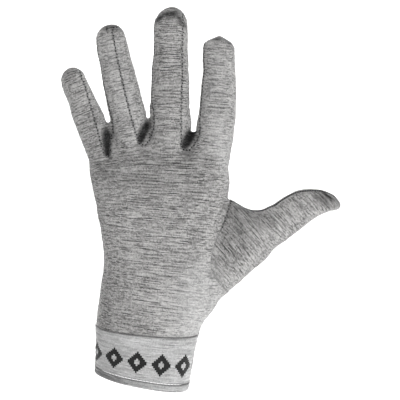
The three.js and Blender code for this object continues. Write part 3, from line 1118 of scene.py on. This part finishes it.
    def pieces(self) -> dict[str, dict[str, Array]]:
        """Each panel's own cloth, doubled inwards to its thickness and closed at its edges.

        Returns:
            By panel: points, faces, the outside's area, and the point attributes knit, the painted shade and
                light, and the seams' nearness, by which their grooves' shade is painted.
        """
        form = self.form
        normals, knit, painted_shading = form.normals(), self.coordinates(), self.painted_shading()
        result = {}
        for label, name in enumerate(self.names):
            faces = form.triangles[self.labels == label]
            used, flat = np.unique(faces.ravel(), return_inverse=True)
            faces = flat.reshape(-1, 3)
            edges = sides_of(faces)
            key = np.sort(edges, axis=1)
            _, back, count = np.unique(key, axis=0, return_inverse=True, return_counts=True)
            rim = edges[count[back.ravel()] == 1]
            n = len(used)
            outer = form.points[used]
            inner = outer - normals[used] * self.cloth.thickness
            wall = np.concatenate([
                np.stack([rim[:, 1], rim[:, 0], rim[:, 0] + n], axis=1),
                np.stack([rim[:, 1], rim[:, 0] + n, rim[:, 1] + n], axis=1),
            ])
            a, b, c = (outer[faces[:, k]] for k in range(3))
            result[name] = {
                "points": np.concatenate([outer, inner]),
                "faces": np.concatenate([faces, faces[:, ::-1] + n, wall]),
                "area": np.linalg.norm(np.cross(b - a, c - a), axis=1).sum() / 2,
                "knit": np.concatenate([knit[used]] * 2),
                # The inner layer carries more painted shade, for the shade inside the glove; only the outer
                # layer has the seams' groove shade.
                "painted_shading": np.concatenate([painted_shading[used], np.clip(painted_shading[used] + 0.3, 0, 1)]),
                "seam": np.concatenate([self.closeness[used], np.zeros(n)]),
            }
        return result

    def seam_edges(self) -> dict[tuple[int, int], list[tuple[int, int]]]:
        """The mesh's edges between two panels.

        Returns:
            By pair of labels, the edges as pairs of point numbers.
        """
        keys, labels = np.sort(sides_of(self.form.triangles), axis=1), np.tile(self.labels, 3)
        order = np.lexsort((keys[:, 1], keys[:, 0]))
        keys, labels = keys[order], labels[order]
        result: dict[tuple[int, int], list[tuple[int, int]]] = {}
        for spot in np.flatnonzero((keys[1:] == keys[:-1]).all(axis=1) & (labels[1:] != labels[:-1])):
            pair = tuple(sorted((int(labels[spot]), int(labels[spot + 1]))))
            result.setdefault(pair, []).append(tuple(int(v) for v in keys[spot]))
        return result

    def seam_lines(self) -> dict[tuple[int, int], list[tuple[Array, Array]]]:
        """The seams between panels as ordered lines of points with their normals.

        Returns:
            By pair of labels, the lines and the normals along them.
        """
        points, normals = self.form.points, self.form.normals()
        return {
            pair: [(points[chain], normals[chain]) for chain in chains(edges)]
            for pair, edges in self.seam_edges().items()
        }


def chains(edges: list[tuple[int, int]], shortest: int = 8) -> list[list[int]]:
    """Edges joined into long chains.

    Args:
        edges: Pairs of point numbers.
        shortest: A chain of no more points than this is left out.

    Returns:
        The chains of point numbers; a closed one ends with its first point.
    """
    near: dict[int, list[int]] = {}
    for a, b in edges:
        near.setdefault(a, []).append(b)
        near.setdefault(b, []).append(a)
    result, left = [], set(near)
    for start in [v for v in near if len(near[v]) != 2] + list(near):
        if start not in left:
            continue
        chain, ahead = [], [start]
        while ahead:
            chain.append(ahead[0])
            left.discard(ahead[0])
            ahead = [v for v in near[chain[-1]] if v in left]
        if len(chain) > shortest:
            result.append(chain + chain[:1] if chain[0] in near[chain[-1]] else chain)
    return result


SHORTEST_LINE = 10  # points that a line needs for its stitches
THREAD_RINGS = 5
THREAD_SIDES = 5


def thread_faces() -> Array:
    """One short thread's triangles: its tube and its two ends.

    Returns:
        Rows of three point numbers, with THREAD_SIDES points to a ring.
    """
    n = THREAD_SIDES
    faces = []
    for ring in range(THREAD_RINGS - 1):
        for turn in range(n):
            low, high = ring * n + turn, ring * n + (turn + 1) % n
            faces += [[low, high, high + n], [low, high + n, low + n]]
    last = (THREAD_RINGS - 1) * n
    faces += [[0, k + 1, k] for k in range(1, n - 1)]
    faces += [[last, last + k, last + k + 1] for k in range(1, n - 1)]
    return np.array(faces)


@dataclass
class Threads:
    """Sewing thread along seams, as one mesh of short threads.

    weave is how far running stitches lie to either side of the seam by turns.
    """

    pitch: float = 2.2
    reach: float = 0.95
    radius: float = 0.2
    weave: float = 0.0
    points: list[Array] = field(default_factory=list)
    faces: list[Array] = field(default_factory=list)
    count: int = 0

    def sew(self, line: Array, normals: Array, kind: Stitch, lift: float = 0.0) -> None:
        """Lay stitches along a seam.

        Args:
            line: Points of the seam in order.
            normals: The skin's outward directions there.
            kind: How the thread lies.
            lift: How far above the skin the thread stands.
        """
        for _ in range(4):
            inner = (line[:-2] + line[1:-1] * 2 + line[2:]) / 4
            line = np.concatenate([line[:1], inner, line[-1:]])
        steps = np.concatenate([[0], np.cumsum(np.linalg.norm(np.diff(line, axis=0), axis=1))])
        number = int(steps[-1] / self.pitch)
        if number < 2:
            return

        def read(values: Array, at: Array) -> Array:
            """The rows of values at lengths along the line."""
            return np.stack([np.interp(at, steps, values[:, k]) for k in range(3)], axis=1)

        at = (np.arange(number) + (0.25 if kind is Stitch.OVERCAST else 0.75)) * self.pitch
        place, out = read(line, at), read(normals, at)
        out /= np.linalg.norm(out, axis=1)[:, None]
        way = read(line, at + 0.5) - read(line, at - 0.5)
        way /= np.maximum(np.linalg.norm(way, axis=1), 1e-9)[:, None]
        across = np.cross(out, way)
        if kind is Stitch.RUNNING:
            place = place + across * np.where(np.arange(number) % 2 > 0, self.weave, -self.weave)[:, None]
        slope = 0.55 if kind is Stitch.OVERCAST else 9.0
        lean = (across + slope * way) / math.hypot(1, slope)
        reach = {
            Stitch.OVERCAST: self.reach,
            Stitch.RUNNING: self.pitch * 0.3,
            Stitch.CORD: self.pitch * 0.6,
        }[kind]
        self.lay(place, lean * reach, out, lift + 0.1)

    def lay(self, place: Array, half: Array, out: Array, lift: float) -> None:
        """Add short bent tubes, one for each stitch.

        Args:
            place: The stitches' middles.
            half: From each middle to its stitch's end.
            out: The skin's outward directions there.
            lift: How far above the skin a stitch's middle line stands.
        """
        count = THREAD_RINGS
        arch = np.array([-0.32, 0.12, 0.3, 0.12, -0.32]) + lift
        swell = np.array([0.5, 1, 1.05, 1, 0.5]) * self.radius
        spine = place[:, None] + half[:, None] * np.linspace(-1, 1, count)[None, :, None]
        spine = spine + out[:, None] * arch[None, :, None]
        level = np.cross(half / np.linalg.norm(half, axis=1)[:, None], out)
        turns = np.arange(THREAD_SIDES) * 2 * math.pi / THREAD_SIDES
        ring = (
            np.cos(turns)[None, None, :, None] * level[:, None, None]
            + np.sin(turns)[None, None, :, None] * out[:, None, None]
        ) * swell[None, :, None, None]
        starts = self.count + np.arange(len(place)) * count * THREAD_SIDES
        self.points.append((spine[:, :, None] + ring).reshape(-1, 3))
        self.faces.append((thread_faces()[None] + starts[:, None, None]).reshape(-1, 3))
        self.count += len(place) * count * THREAD_SIDES

    def mesh_arrays(self) -> tuple[Array, Array]:
        """All the threads' points and faces."""
        return np.concatenate(self.points), np.concatenate(self.faces)


class Number:
    """A number socket, on which shader maths is written as Python expressions."""

    def __init__(self, graph: "Graph", socket: bpy.types.NodeSocket) -> None:
        """Wrap a socket of a graph."""
        self.graph, self.socket = graph, socket

    def _with(self, operation: str, *others: "Number | float") -> "Number":
        """A Math node on this number and others."""
        values = {k: o for k, o in enumerate((self, *others))}
        return self.graph.number("ShaderNodeMath", {"operation": operation}, values)

    def _after(self, operation: str, first: float) -> "Number":
        """A Math node whose first value is a plain number and whose second is this one."""
        return self.graph.number("ShaderNodeMath", {"operation": operation}, {0: first, 1: self})

    def __add__(self, other: "Number | float") -> "Number":
        """Sum."""
        return self._with("ADD", other)

    __radd__ = __add__

    def __sub__(self, other: "Number | float") -> "Number":
        """Difference."""
        return self._with("SUBTRACT", other)

    def __rsub__(self, other: float) -> "Number":
        """Difference from a plain number."""
        return self._after("SUBTRACT", other)

    def __mul__(self, other: "Number | float") -> "Number":
        """Product."""
        return self._with("MULTIPLY", other)

    __rmul__ = __mul__

    def __truediv__(self, other: "Number | float") -> "Number":
        """Quotient."""
        return self._with("DIVIDE", other)

    def floor(self) -> "Number":
        """The whole part."""
        return self._with("FLOOR")

    def part(self) -> "Number":
        """The part after the point."""
        return self._with("FRACT")

    def size(self) -> "Number":
        """The absolute value."""
        return self._with("ABSOLUTE")

    def sine(self) -> "Number":
        """The sine, in radians."""
        return self._with("SINE")

    def under(self, other: "Number | float") -> "Number":
        """1 where this is less than the other."""
        return self._with("LESS_THAN", other)

    def least(self, other: "Number | float") -> "Number":
        """The lesser of the two."""
        return self._with("MINIMUM", other)

    def most(self, other: "Number | float") -> "Number":
        """The greater of the two."""
        return self._with("MAXIMUM", other)

    def ramp(self, low: float, high: float) -> "Number":
        """A smooth rise from 0 at low to 1 at high."""
        return self.graph.number("ShaderNodeMapRange", {"interpolation_type": "SMOOTHSTEP"},
                                 {"Value": self, "From Min": low, "From Max": high})


class Graph:
    """A material's nodes."""

    def __init__(self, name: str) -> None:
        """Start a material with a Principled shader.

        Args:
            name: The material's name.
        """
        self.material = bpy.data.materials.new(name)
        self.material.use_nodes = True
        self.tree = self.material.node_tree
        self.shader = self.tree.nodes["Principled BSDF"]

    def node(self, kind: str, settings: dict, values: dict) -> bpy.types.Node:
        """Add a node.

        Args:
            kind: The node's type.
            settings: Its properties, set first.
            values: Its inputs by name or number: numbers, tuples, sockets or Numbers.

        Returns:
            The node.
        """
        made = self.tree.nodes.new(kind)
        for key, value in settings.items():
            setattr(made, key, value)
        for key, value in values.items():
            self.feed(made.inputs[key], value)
        return made

    def feed(self, socket: bpy.types.NodeSocket, value: object) -> None:
        """Set or link an input.

        Args:
            socket: The input.
            value: A number, a tuple, a socket or a Number.
        """
        if isinstance(value, Number):
            self.tree.links.new(value.socket, socket)
        elif isinstance(value, bpy.types.NodeSocket):
            self.tree.links.new(value, socket)
        else:
            socket.default_value = value

    def number(self, kind: str, settings: dict, values: dict) -> Number:
        """The first output of a new node, as a number."""
        return Number(self, self.node(kind, settings, values).outputs[0])

    def mixed(self, low: object, high: object, share: Number) -> bpy.types.NodeSocket:
        """A colour between two, by a share."""
        made = self.node("ShaderNodeMix", {"data_type": "RGBA"}, {0: share, 6: low, 7: high})
        return made.outputs[2]

    def noise(self, place: tuple, detail: float) -> Number:
        """Smooth noise at a place made from three numbers, with waves about one unit long."""
        vector = self.node("ShaderNodeCombineXYZ", {}, dict(enumerate(place))).outputs[0]
        return self.number("ShaderNodeTexNoise", {}, {
            "Vector": vector, "Scale": 1.0, "Detail": detail, "Roughness": 0.55})

    def speck(self, place: tuple) -> Number:
        """Noise of its own in each whole cell of a place."""
        vector = self.node("ShaderNodeCombineXYZ", {}, dict(enumerate(place))).outputs[0]
        return Number(self, self.node("ShaderNodeTexWhiteNoise", {}, {"Vector": vector}).outputs["Value"])

    def attribute(self, name: str) -> bpy.types.Node:
        """A node that reads a point attribute of the mesh."""
        return self.node("ShaderNodeAttribute", {"attribute_name": name}, {})

    def knit(self) -> tuple[Number, Number, Number]:
        """The knit's coordinates, in millimetres."""
        parts = self.node("ShaderNodeSeparateXYZ", {}, {0: self.attribute("knit").outputs["Vector"]})
        return tuple(Number(self, parts.outputs[k]) for k in range(3))


def grey(value: float, warm: float = 0.0) -> tuple[float, float, float, float]:
    """A grey from its 0-255 screen value, a little warmer or cooler."""
    linear = (value / 255) ** 2.2
    return (linear * (1 + warm), linear, linear * (1 - warm), 1.0)


# The mottling's lengths along a course, and those of its wider layers along and up
LONG_STREAK, SHORT_STREAK, FIBRE = 17.0, 6.0, 0.9
BAND, PATCH = (45.0, 1.7), (26.0, 22.0)

# Screen values of what lies over the yarn's own colour: the knitted-in lozenges, painted light and painted
# shade
LOZENGE_GREY = 38
PAINTED_LIGHT_GREY = 228
SHADE_GREY = 16

# The knit's third coordinate on the cuff: its outside lies under OUTSIDE, and its inside over it
CUFF_OUTSIDE, OUTSIDE, CUFF_INSIDE = 7.0, 8.5, 10.0


@dataclass(frozen=True)
class MelangeKnit:
    """Fine knitted cloth of a mottled grey yarn, with a colour of its own in every course.

    light, dark and deep are the yarn's screen values, warm tints them, wale and course are a stitch's
    breadth and height, streak is the mottling's strength, and border adds the row of lozenges.
    """

    name: str
    light: float
    dark: float
    deep: float
    warm: float
    wale: float = 0.8
    course: float = 0.66
    streak: float = 1.0
    border: bool = False

    def melange(self, graph: Graph, u: Number, v: Number, w: Number) -> bpy.types.NodeSocket:
        """The yarn's colour: long dark and light streaks in the courses, with specks.

        Args:
            graph: The material's nodes.
            u: How far round the section, in millimetres.
            v: How far up the courses.
            w: How far through the depth.

        Returns:
            The colour.
        """
        leg = ((u / self.wale).part() - 0.5).size() * 2.0
        row = (v / self.course + leg * 0.3).floor()
        long = graph.noise((u / LONG_STREAK, row * 3.71, w), 1.0)
        beside = graph.noise((u / LONG_STREAK, (row + 1.0) * 3.71, w), 1.0)
        long = (long - beside) * 0.8
        short = graph.noise((u / SHORT_STREAK, row * 5.13, w), 2.0) - 0.5
        fibre = graph.noise((u / FIBRE, row * 7.37, w), 1.0) - 0.5
        band = graph.noise((u / BAND[0], v / BAND[1], w), 2.0) - 0.5
        patch = graph.noise((u / PATCH[0], v / PATCH[1], w), 2.0) - 0.5
        speck = graph.speck(((u / self.wale).floor(), row, w.floor())) - 0.5
        sum_of_all = long * 1.45 + short * 0.85 + fibre * 0.65 + band * 0.6 + patch * 0.45 + speck * 0.3
        even = sum_of_all * self.streak + 0.5
        body = graph.mixed(grey(self.dark, self.warm), grey(self.light, self.warm), even.ramp(-0.1, 1.05))
        streaks = (long + band * 0.6).ramp(0.12, 0.24) * self.streak
        return graph.mixed(body, grey(self.deep, self.warm), streaks * 0.55)

    def stitch_height(self, graph: Graph, u: Number, v: Number, w: Number) -> Number:
        """The height of the knit's loops and of the fine ridges between its courses.

        Args:
            graph: The material's nodes.
            u: How far round the section, in millimetres.
            v: How far up the courses.
            w: How far through the depth.

        Returns:
            The height, in units of the bump.
        """
        across = (u / self.wale).part()
        leg = (across - 0.5).size() * 2.0
        loop = ((v / self.course + leg * 0.7).part() * math.pi).sine()
        legs = (across * (2 * math.pi)).sine().size()
        ridge = graph.noise((u / 14.0, v / 1.5, w), 3.0)
        return loop * (legs * 0.6 + 0.4) * 0.5 + ridge * 1.3

    def material(self) -> bpy.types.Material:
        """Make the cloth's material.

        Returns:
            The material.
        """
        graph = Graph(self.name)
        shader = graph.shader.inputs
        u, v, w = graph.knit()
        colour = self.melange(graph, u, v, w)
        if self.border:
            colour = graph.mixed(colour, grey(LOZENGE_GREY), lozenges(graph, u, v) * w.under(OUTSIDE))
        # The painted shading: painted shade above 0 and painted light below it.
        painted_shading = Number(graph, graph.attribute("painted_shading").outputs["Fac"])
        seam = Number(graph, graph.attribute("seam").outputs["Fac"])
        grain = graph.noise((u / 1.6, (v / self.course).floor() * 2.31, w), 2.0)
        # Painted light where the painted shading is below 0.
        colour = graph.mixed(colour, grey(PAINTED_LIGHT_GREY), (painted_shading * -1.0).most(0.0))
        # Painted shade, broken up by the yarn's grain, and painted shade in the seams' grooves by their
        # nearness.
        shade = (painted_shading * (grain * 0.9 + 0.55)).least(0.98).most(seam.ramp(0.3, 0.95) * 0.28)
        graph.feed(shader["Base Color"], graph.mixed(colour, grey(SHADE_GREY), shade))
        fuzz = graph.noise((u / 1.3, v / 1.1, w), 2.0)
        graph.feed(shader["Roughness"], fuzz * 0.16 + 0.8)
        bump = graph.node("ShaderNodeBump", {}, {
            "Strength": 0.55, "Distance": 0.0004, "Height": self.stitch_height(graph, u, v, w)})
        graph.feed(shader["Normal"], bump.outputs[0])
        shader["Sheen Weight"].default_value = 0.25
        shader["Sheen Roughness"].default_value = 0.5
        shader["Specular IOR Level"].default_value = 0.2
        return graph.material


# The cuff's knitted border: whole stitches to a lozenge, and whole lozenges round the wrist.
STITCH = 1.15
LOZENGE_PERIOD = 14 * STITCH
LOZENGES = 11
LOZENGE_HALF_HEIGHT, LOZENGE_MIDDLE = 6.6, 15.4


def lozenges(graph: Graph, u: Number, v: Number) -> Number:
    """A row of knitted-in lozenges round the cuff, stepped in whole stitches.

    Args:
        graph: The material's nodes.
        u: How far round the cuff, in millimetres.
        v: How far up it.

    Returns:
        1 in a lozenge's frame and 0 elsewhere.
    """
    across = ((u / STITCH).floor() * STITCH / LOZENGE_PERIOD + 50.0).part() - 0.5
    up = ((v / STITCH).floor() * STITCH - LOZENGE_MIDDLE) / LOZENGE_HALF_HEIGHT
    distance = across.size() * 2.2 + up.size()
    return distance.under(1.0) * (1.0 - distance.under(0.36))


@dataclass(frozen=True)
class ThreadFinish:
    """Matt sewing thread with a twist."""

    name: str
    value: float

    def material(self) -> bpy.types.Material:
        """Make the thread's material.

        Returns:
            The material.
        """
        graph = Graph(self.name)
        place = graph.node("ShaderNodeTexCoord", {}, {}).outputs["Object"]
        twist = graph.number("ShaderNodeTexNoise", {}, {"Vector": place, "Scale": 900.0, "Detail": 2.0})
        graph.feed(graph.shader.inputs["Base Color"],
                   graph.mixed(grey(self.value - 26), grey(self.value + 22), twist))
        bump = graph.node("ShaderNodeBump", {}, {"Strength": 0.4, "Distance": 0.0001, "Height": twist})
        graph.feed(graph.shader.inputs["Normal"], bump.outputs[0])
        graph.shader.inputs["Roughness"].default_value = 0.8
        return graph.material


@dataclass(frozen=True)
class Backdrop:
    """A pale plain floor that turns up into a low wall all round, and glows a little as a lit cove does."""

    drop: float = 0.95
    radius: float = 3.2
    turn: float = 1.2
    height: float = 2.3
    sides: int = 96
    bends: int = 12
    glow: float = 0.2

    def profile(self) -> list[tuple[float, float]]:
        """The floor's section, from near its middle out and up.

        Returns:
            Pairs of a radius and a height above the floor.
        """
        angles = [math.pi / 2 * k / self.bends for k in range(self.bends + 1)]
        foot = self.radius - self.turn
        bend = [(foot + self.turn * math.sin(a), self.turn * (1 - math.cos(a))) for a in angles]
        return [(0.6, 0.0), *bend, (self.radius, self.height)]

    def material(self) -> bpy.types.Material:
        """Make the floor's finish.

        Returns:
            The material.
        """
        graph = Graph("pale_floor")
        shader = graph.shader.inputs
        place = graph.node("ShaderNodeTexCoord", {}, {}).outputs["Object"]
        grain = graph.number("ShaderNodeTexNoise", {}, {"Vector": place, "Scale": 3.0, "Detail": 2.0})
        graph.feed(shader["Base Color"], graph.mixed(grey(242), grey(245), grain))
        shader["Roughness"].default_value = 0.95
        shader["Specular IOR Level"].default_value = 0.1
        shader["Emission Color"].default_value = (1, 1, 1, 1)
        shader["Emission Strength"].default_value = self.glow
        return graph.material

    def build(self) -> None:
        """Make the floor."""
        n, profile = self.sides, self.profile()
        turns = np.arange(n) * 2 * math.pi / n
        points = [(0.0, 0.0, -self.drop)]
        points += [(r * math.cos(a), r * math.sin(a), z - self.drop) for r, z in profile for a in turns]
        faces = [(0, 1 + i, 1 + (i + 1) % n) for i in range(n)]
        faces += [
            (1 + k * n + i, 1 + (k + 1) * n + i, 1 + (k + 1) * n + (i + 1) % n, 1 + k * n + (i + 1) % n)
            for k in range(len(profile) - 1) for i in range(n)
        ]
        placed("studio_floor", smooth_mesh("studio_floor", points, faces, self.material()))


@dataclass(frozen=True)
class Lamp:
    """A square soft light that looks at a target."""

    name: str
    place: tuple[float, float, float]
    size: float
    power: float
    target: tuple[float, float, float]

    def build(self) -> None:
        """Make the light."""
        light = bpy.data.lights.new(self.name, "AREA")
        light.shape, light.size, light.energy = "SQUARE", self.size, self.power
        stand = placed(self.name, light)
        stand.location = self.place
        look = Vector(self.target) - Vector(self.place)
        stand.rotation_euler = look.to_track_quat("-Z", "Y").to_euler()


LAMPS = (
    Lamp("key", (0.5, -0.4, -0.24), 0.3, 2.6, (0.04, 0.0, 0.12)),
    Lamp("top", (0.08, -0.6, 0.7), 0.5, 1.35, (0.02, 0.0, 0.22)),
    Lamp("backdrop_wash", (0.0, 0.9, 2.0), 1.6, 80.0, (0.0, 3.2, 0.1)),
)


@dataclass(frozen=True)
class Studio:
    """The camera at the photograph's place, and soft light from the lower right."""

    eye: tuple[float, float, float] = (0.038, -1.1, 0.117)
    frame_width: float = 0.26
    sensor: float = 36.0
    ambient: float = 0.45

    def build(self) -> None:
        """Make the camera, the lights and the floor."""
        camera = bpy.data.cameras.new("camera")
        camera.sensor_width = self.sensor
        camera.lens = self.sensor * -self.eye[1] / self.frame_width
        seat = placed("camera", camera)
        seat.location = self.eye
        seat.rotation_euler = (math.pi / 2, 0, 0)
        bpy.context.scene.camera = seat
        for lamp in LAMPS:
            lamp.build()
        world = bpy.data.worlds.new("studio")
        world.use_nodes = True
        world.node_tree.nodes["Background"].inputs[0].default_value = (1, 1, 1, 1)
        world.node_tree.nodes["Background"].inputs[1].default_value = self.ambient
        bpy.context.scene.world = world
        bpy.context.scene.view_settings.view_transform = "Standard"
        Backdrop().build()


def add_piece(name: str, points: Array, faces: Array, material: bpy.types.Material, slot: Slot,
              fields: dict[str, Array] | None = None) -> bpy.types.Object:
    """Make a piece of the glove.

    Args:
        name: The piece's name.
        points: Its points, in millimetres.
        faces: Its triangles or quads.
        material: Its finish.
        slot: The record's slot for its finish; not used.
        fields: Point attributes by name, of one or three columns.

    Returns:
        The piece.
    """
    mesh = smooth_mesh(name, (points * MM).tolist(), faces.tolist(), material)
    for key, values in (fields or {}).items():
        kind = "FLOAT_VECTOR" if values.ndim == 2 else "FLOAT"
        layer = mesh.attributes.new(key, kind, "POINT")
        layer.data.foreach_set("vector" if values.ndim == 2 else "value", values.astype(np.float32).ravel())
    piece = placed(name, mesh)
    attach(piece, BODY)
    log.info("%s: %d points, %d faces", name, len(points), len(faces))
    return piece


# Each panel's cut: its length, in millimetres, and the share that it fills of its least rectangle
CUTS = {
    "back_panel": (215.0, 0.7),
    "palm_panel": (213.0, 0.7),
    "fourchette_little_ring": (130.0, 0.88),
    "fourchette_ring_middle": (167.0, 0.88),
    "fourchette_middle_index": (162.0, 0.88),
    "thumb_back": (94.0, 0.66),
    "thumb_palm": (94.0, 0.66),
}


@dataclass
class Hand:
    """The grey jersey body of the glove: panels, fourchettes, thumb and the threads that join them."""

    fine: float = 0.85
    coarse: float = 1.6

    def build(self) -> None:
        """Make every panel and seam."""
        form = Form(self.fine)
        form.build()
        skin = Skin(form)
        skin.part()
        skin.relieve()
        cloth = MelangeKnit("heather_jersey", 196, 68, 32, 0.014).material()
        for name, data in skin.pieces().items():
            piece = add_piece(name + "_cloth", data["points"], data["faces"], cloth, Slot.JERSEY,
                              {k: data[k] for k in ("knit", "painted_shading", "seam")})
            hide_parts(name)
            area = data["area"] * MM * MM
            length, share = CUTS[name]
            area / share / (length * MM)
        self.sew(skin)

    def sew(self, skin: Skin) -> None:
        """Lay the threads along the seams between the panels.

        Args:
            skin: The parted skin.
        """
        thread = ThreadFinish("grey_thread", 136).material()
        # Dark thread, used as painted shade for the seams' running stitches and for the cord along the
        # thumb's seam.
        shade = ThreadFinish("seam_shade_dark_thread", 30).material()
        fine, strong = Threads(), Threads(pitch=1.6, reach=1.25, radius=0.17)
        dark, edge = Threads(pitch=2.1, radius=0.4, weave=0.32), Threads(pitch=1.6, radius=0.8)
        seams = skin.seam_lines()
        thumb_top = seams.pop((Panel.THUMB_BACK, Panel.THUMB_PALM), [])
        for (low, high), lines in seams.items():
            if low == Panel.NONE:
                continue
            for points, normals in lines:
                fine.sew(points, normals, Stitch.OVERCAST)
                # Dark running stitches stand in for the shade between the seam's stitches: painted shade,
                # left off the seam between back and palm and low on the thumb's root.
                keep = points[:, 2] > (THUMB_FAINT if high >= Panel.THUMB_BACK else 0.0)
                if keep.sum() > SHORTEST_LINE and high != Panel.PALM:
                    dark.sew(points[keep], normals[keep], Stitch.RUNNING)
        for points, normals in thumb_top:
            keep = -skin.form.digits["thumb"].locate(points)["side"] > 2
            if keep.sum() > SHORTEST_LINE:
                strong.sew(points[keep], normals[keep], Stitch.OVERCAST, 0.35)
                edge.sew(points[keep], normals[keep], Stitch.CORD, -0.1)
        for name, threads, finish in (
            ("panel_seam_threads", fine, thread),
            ("thumb_seam_threads", strong, thread),
            ("panel_seam_shade_stitches", dark, shade),
            ("thumb_seam_cord", edge, shade),
        ):
            add_piece(name, *threads.mesh_arrays(), finish, Slot.JERSEY)


INNER_LEVEL = -1.0  # how far inside the cuff's form its inner face begins


def outward(points: Array) -> Array:
    """Level directions from the points' middle out to each of them.

    Args:
        points: Points round the wrist.

    Returns:
        Unit vectors, a row for each point.
    """
    away = points - points.mean(axis=0)
    away[:, 2] = 0
    return away / np.linalg.norm(away, axis=1)[:, None]


@dataclass
class Cuff:
    """The lighter cuff: a band folded double, with a bound edge at the wrist opening."""

    height: float = 33.0
    breadth: float = 60.0
    depth: float = 41.0
    hem: float = 4.5
    thickness: float = 2.2
    rim_slant: float = 11.0
    sides: int = 240
    palm: Palm = field(default_factory=Palm)

    def surface(self, up: Array, turns: Array, out: Array) -> Array:
        """Points on a level of the cuff.

        Args:
            up: Height above the wrist opening, along the cuff.
            turns: Where round the cuff, in radians.
            out: How far outside the cuff's form.

        Returns:
            The points.
        """
        middle, top_breadth, top_depth, top_back, _ = (float(v) for v in self.palm.at(np.array(0.0)))
        share = up / self.height
        half_breadth = self.breadth / 2 + (top_breadth - self.breadth / 2) * share
        half_depth = self.depth / 2 + (top_depth - self.depth / 2) * share
        right, back = superellipse(turns, PALM_ROUNDNESS)
        x, y = right * (half_breadth + out), back * (half_depth + out)
        slant = self.rim_slant + (self.palm.seam_slant - self.rim_slant) * share
        rise = y * math.tan(math.radians(self.palm.tilt)) - x * np.tan(np.radians(slant))
        return np.stack([share * middle + x, y + share * top_back, up + rise], axis=-1)

    def lofted(self, profile: list[tuple[float, float]]) -> tuple[Array, Array, Array]:
        """A closed section carried round the wrist.

        Args:
            profile: The section as (up, out) points in order, outside first.

        Returns:
            Its points, its faces, and the knit's coordinates at the points.
        """
        n, count = self.sides, len(profile)
        turns = (np.arange(n) + 0.5) * 2 * math.pi / n + math.pi
        ring = self.surface(np.full(n, self.height / 2), turns, np.zeros(n))
        steps = np.linalg.norm(ring - np.roll(ring, 1, axis=0), axis=1)
        wale = np.cumsum(steps) / steps.sum() * LOZENGES * LOZENGE_PERIOD
        rows, knits = [], []
        for up, out in profile:
            level = np.full(n, up)
            rows.append(self.surface(level, turns, np.full(n, out)))
            place = np.full(n, CUFF_INSIDE if out < INNER_LEVEL else CUFF_OUTSIDE)
            knits.append(np.stack([wale, level, place], axis=1))
        points = np.concatenate(rows)
        waves = sum(one.at(points) for one in CUFF_RIPPLES)
        points = points + outward(points) * waves[:, None]
        faces = [
            (r * n + i, r * n + (i + 1) % n, (r + 1) % count * n + (i + 1) % n, (r + 1) % count * n + i)
            for r in range(count) for i in range(n)
        ]
        return points, np.array(faces), np.concatenate(knits)

    def band(self, name: str, node: str, profile: list[tuple[float, float]], fullness: float,
             material: bpy.types.Material) -> None:
        """Make one closed band.

        Args:
            name: The piece's name.
            node: The CAD node that it replaces.
            profile: Its section as (up, out) points in order, outside first.
            fullness: The cloth's area, as a share of its flat size; not used.
            material: Its finish.
        """
        points, faces, knit = self.lofted(profile)
        outside = np.array([out > INNER_LEVEL for _, out in profile])
        levels = np.array([up for up, _ in profile])
        low, high = levels.min(), levels.max()
        # Painted shade on the band's inside and where its edges turn under.
        edge = np.maximum(eased(low + 0.9, low, levels), eased(high - 0.9, high, levels)) * 0.8
        painted_shading = np.repeat(np.maximum(np.where(outside, 0.0, 0.35), 0.6 * edge), self.sides)
        # Painted shade on the hem's lower left, turned away from the light.
        if high < self.height / 2:
            left = np.exp(-(((points[:, 0] + 24) / 15) ** 2)) * (points[:, 1] < 0)
            painted_shading = np.maximum(painted_shading, 0.6 * left * np.repeat(eased(4.2, 2.6, levels), self.sides))
        # The edges' painted shade goes in as seam nearness too, darker still on the outside.
        piece = add_piece(name, points, faces, material, Slot.CUFF, {
            "knit": knit, "painted_shading": painted_shading, "seam": np.repeat(edge * outside, self.sides)})
        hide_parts(node)

    def build(self) -> None:
        """Make the band and the bound edge."""
        knit = MelangeKnit("cuff_knit", 210, 130, 92, 0.0, streak=0.8, border=True).material()
        low, high, inner = self.hem + 0.35, self.height - 0.1, -self.thickness
        band = [(low, -0.9), (low + 0.15, -0.35), (low + 0.5, 0.0)]
        band += [(up, 0.12) for up in np.arange(low + 1.2, high - 1.2, 0.8)]
        band += [(high - 0.9 + 0.3 * k, -0.05 * k * k) for k in range(4)]
        band += [(high, inner + 0.4), (high - 0.4, inner)]
        band += [(up, inner) for up in np.arange(high - 2, low + 1, -2.0)]
        band += [(low, inner + 0.3)]
        self.band("cuff_band_knit", "cuff_band", band, 1.0, knit)
        hem = [
            (0.0, -1.1), (0.1, -0.4), (0.5, 0.1), (1.1, 0.35), (1.9, 0.45), (2.8, 0.4), (3.6, 0.2),
            (4.1, -0.1), (4.35, -0.6), (4.4, -1.4), (4.1, inner), (2.4, inner), (0.5, inner), (0.05, -1.7),
        ]
        plain = MelangeKnit("hem_knit", 200, 120, 84, 0.0, streak=0.8).material()
        self.band("cuff_hem_knit", "cuff_hem", hem, 0.61, plain)
        self.sew()

    def sew(self) -> None:
        """Lay the threads along the cuff's top seam and along the bound edge."""
        count = 260
        turns = np.linspace(0, 2 * math.pi, count)
        threads = Threads(pitch=2.3, reach=1.0, radius=0.17)
        for up, out in ((self.height + 0.1, 0.15), (self.hem + 0.1, 0.1)):
            points = self.surface(np.full(count, up), turns, np.full(count, out))
            threads.sew(points, outward(points), Stitch.OVERCAST)
        material = ThreadFinish("pale_thread", 150).material()
        add_piece("cuff_seam_threads", *threads.mesh_arrays(), material, Slot.CUFF)


def main() -> None:
    """Build the scene; each piece's size is logged as it is made."""
    logging.basicConfig(level=logging.INFO, format="%(name)s: %(message)s")
    Studio().build()
    Hand().build()
    Cuff().build()


if __name__ == "__main__":
    main()
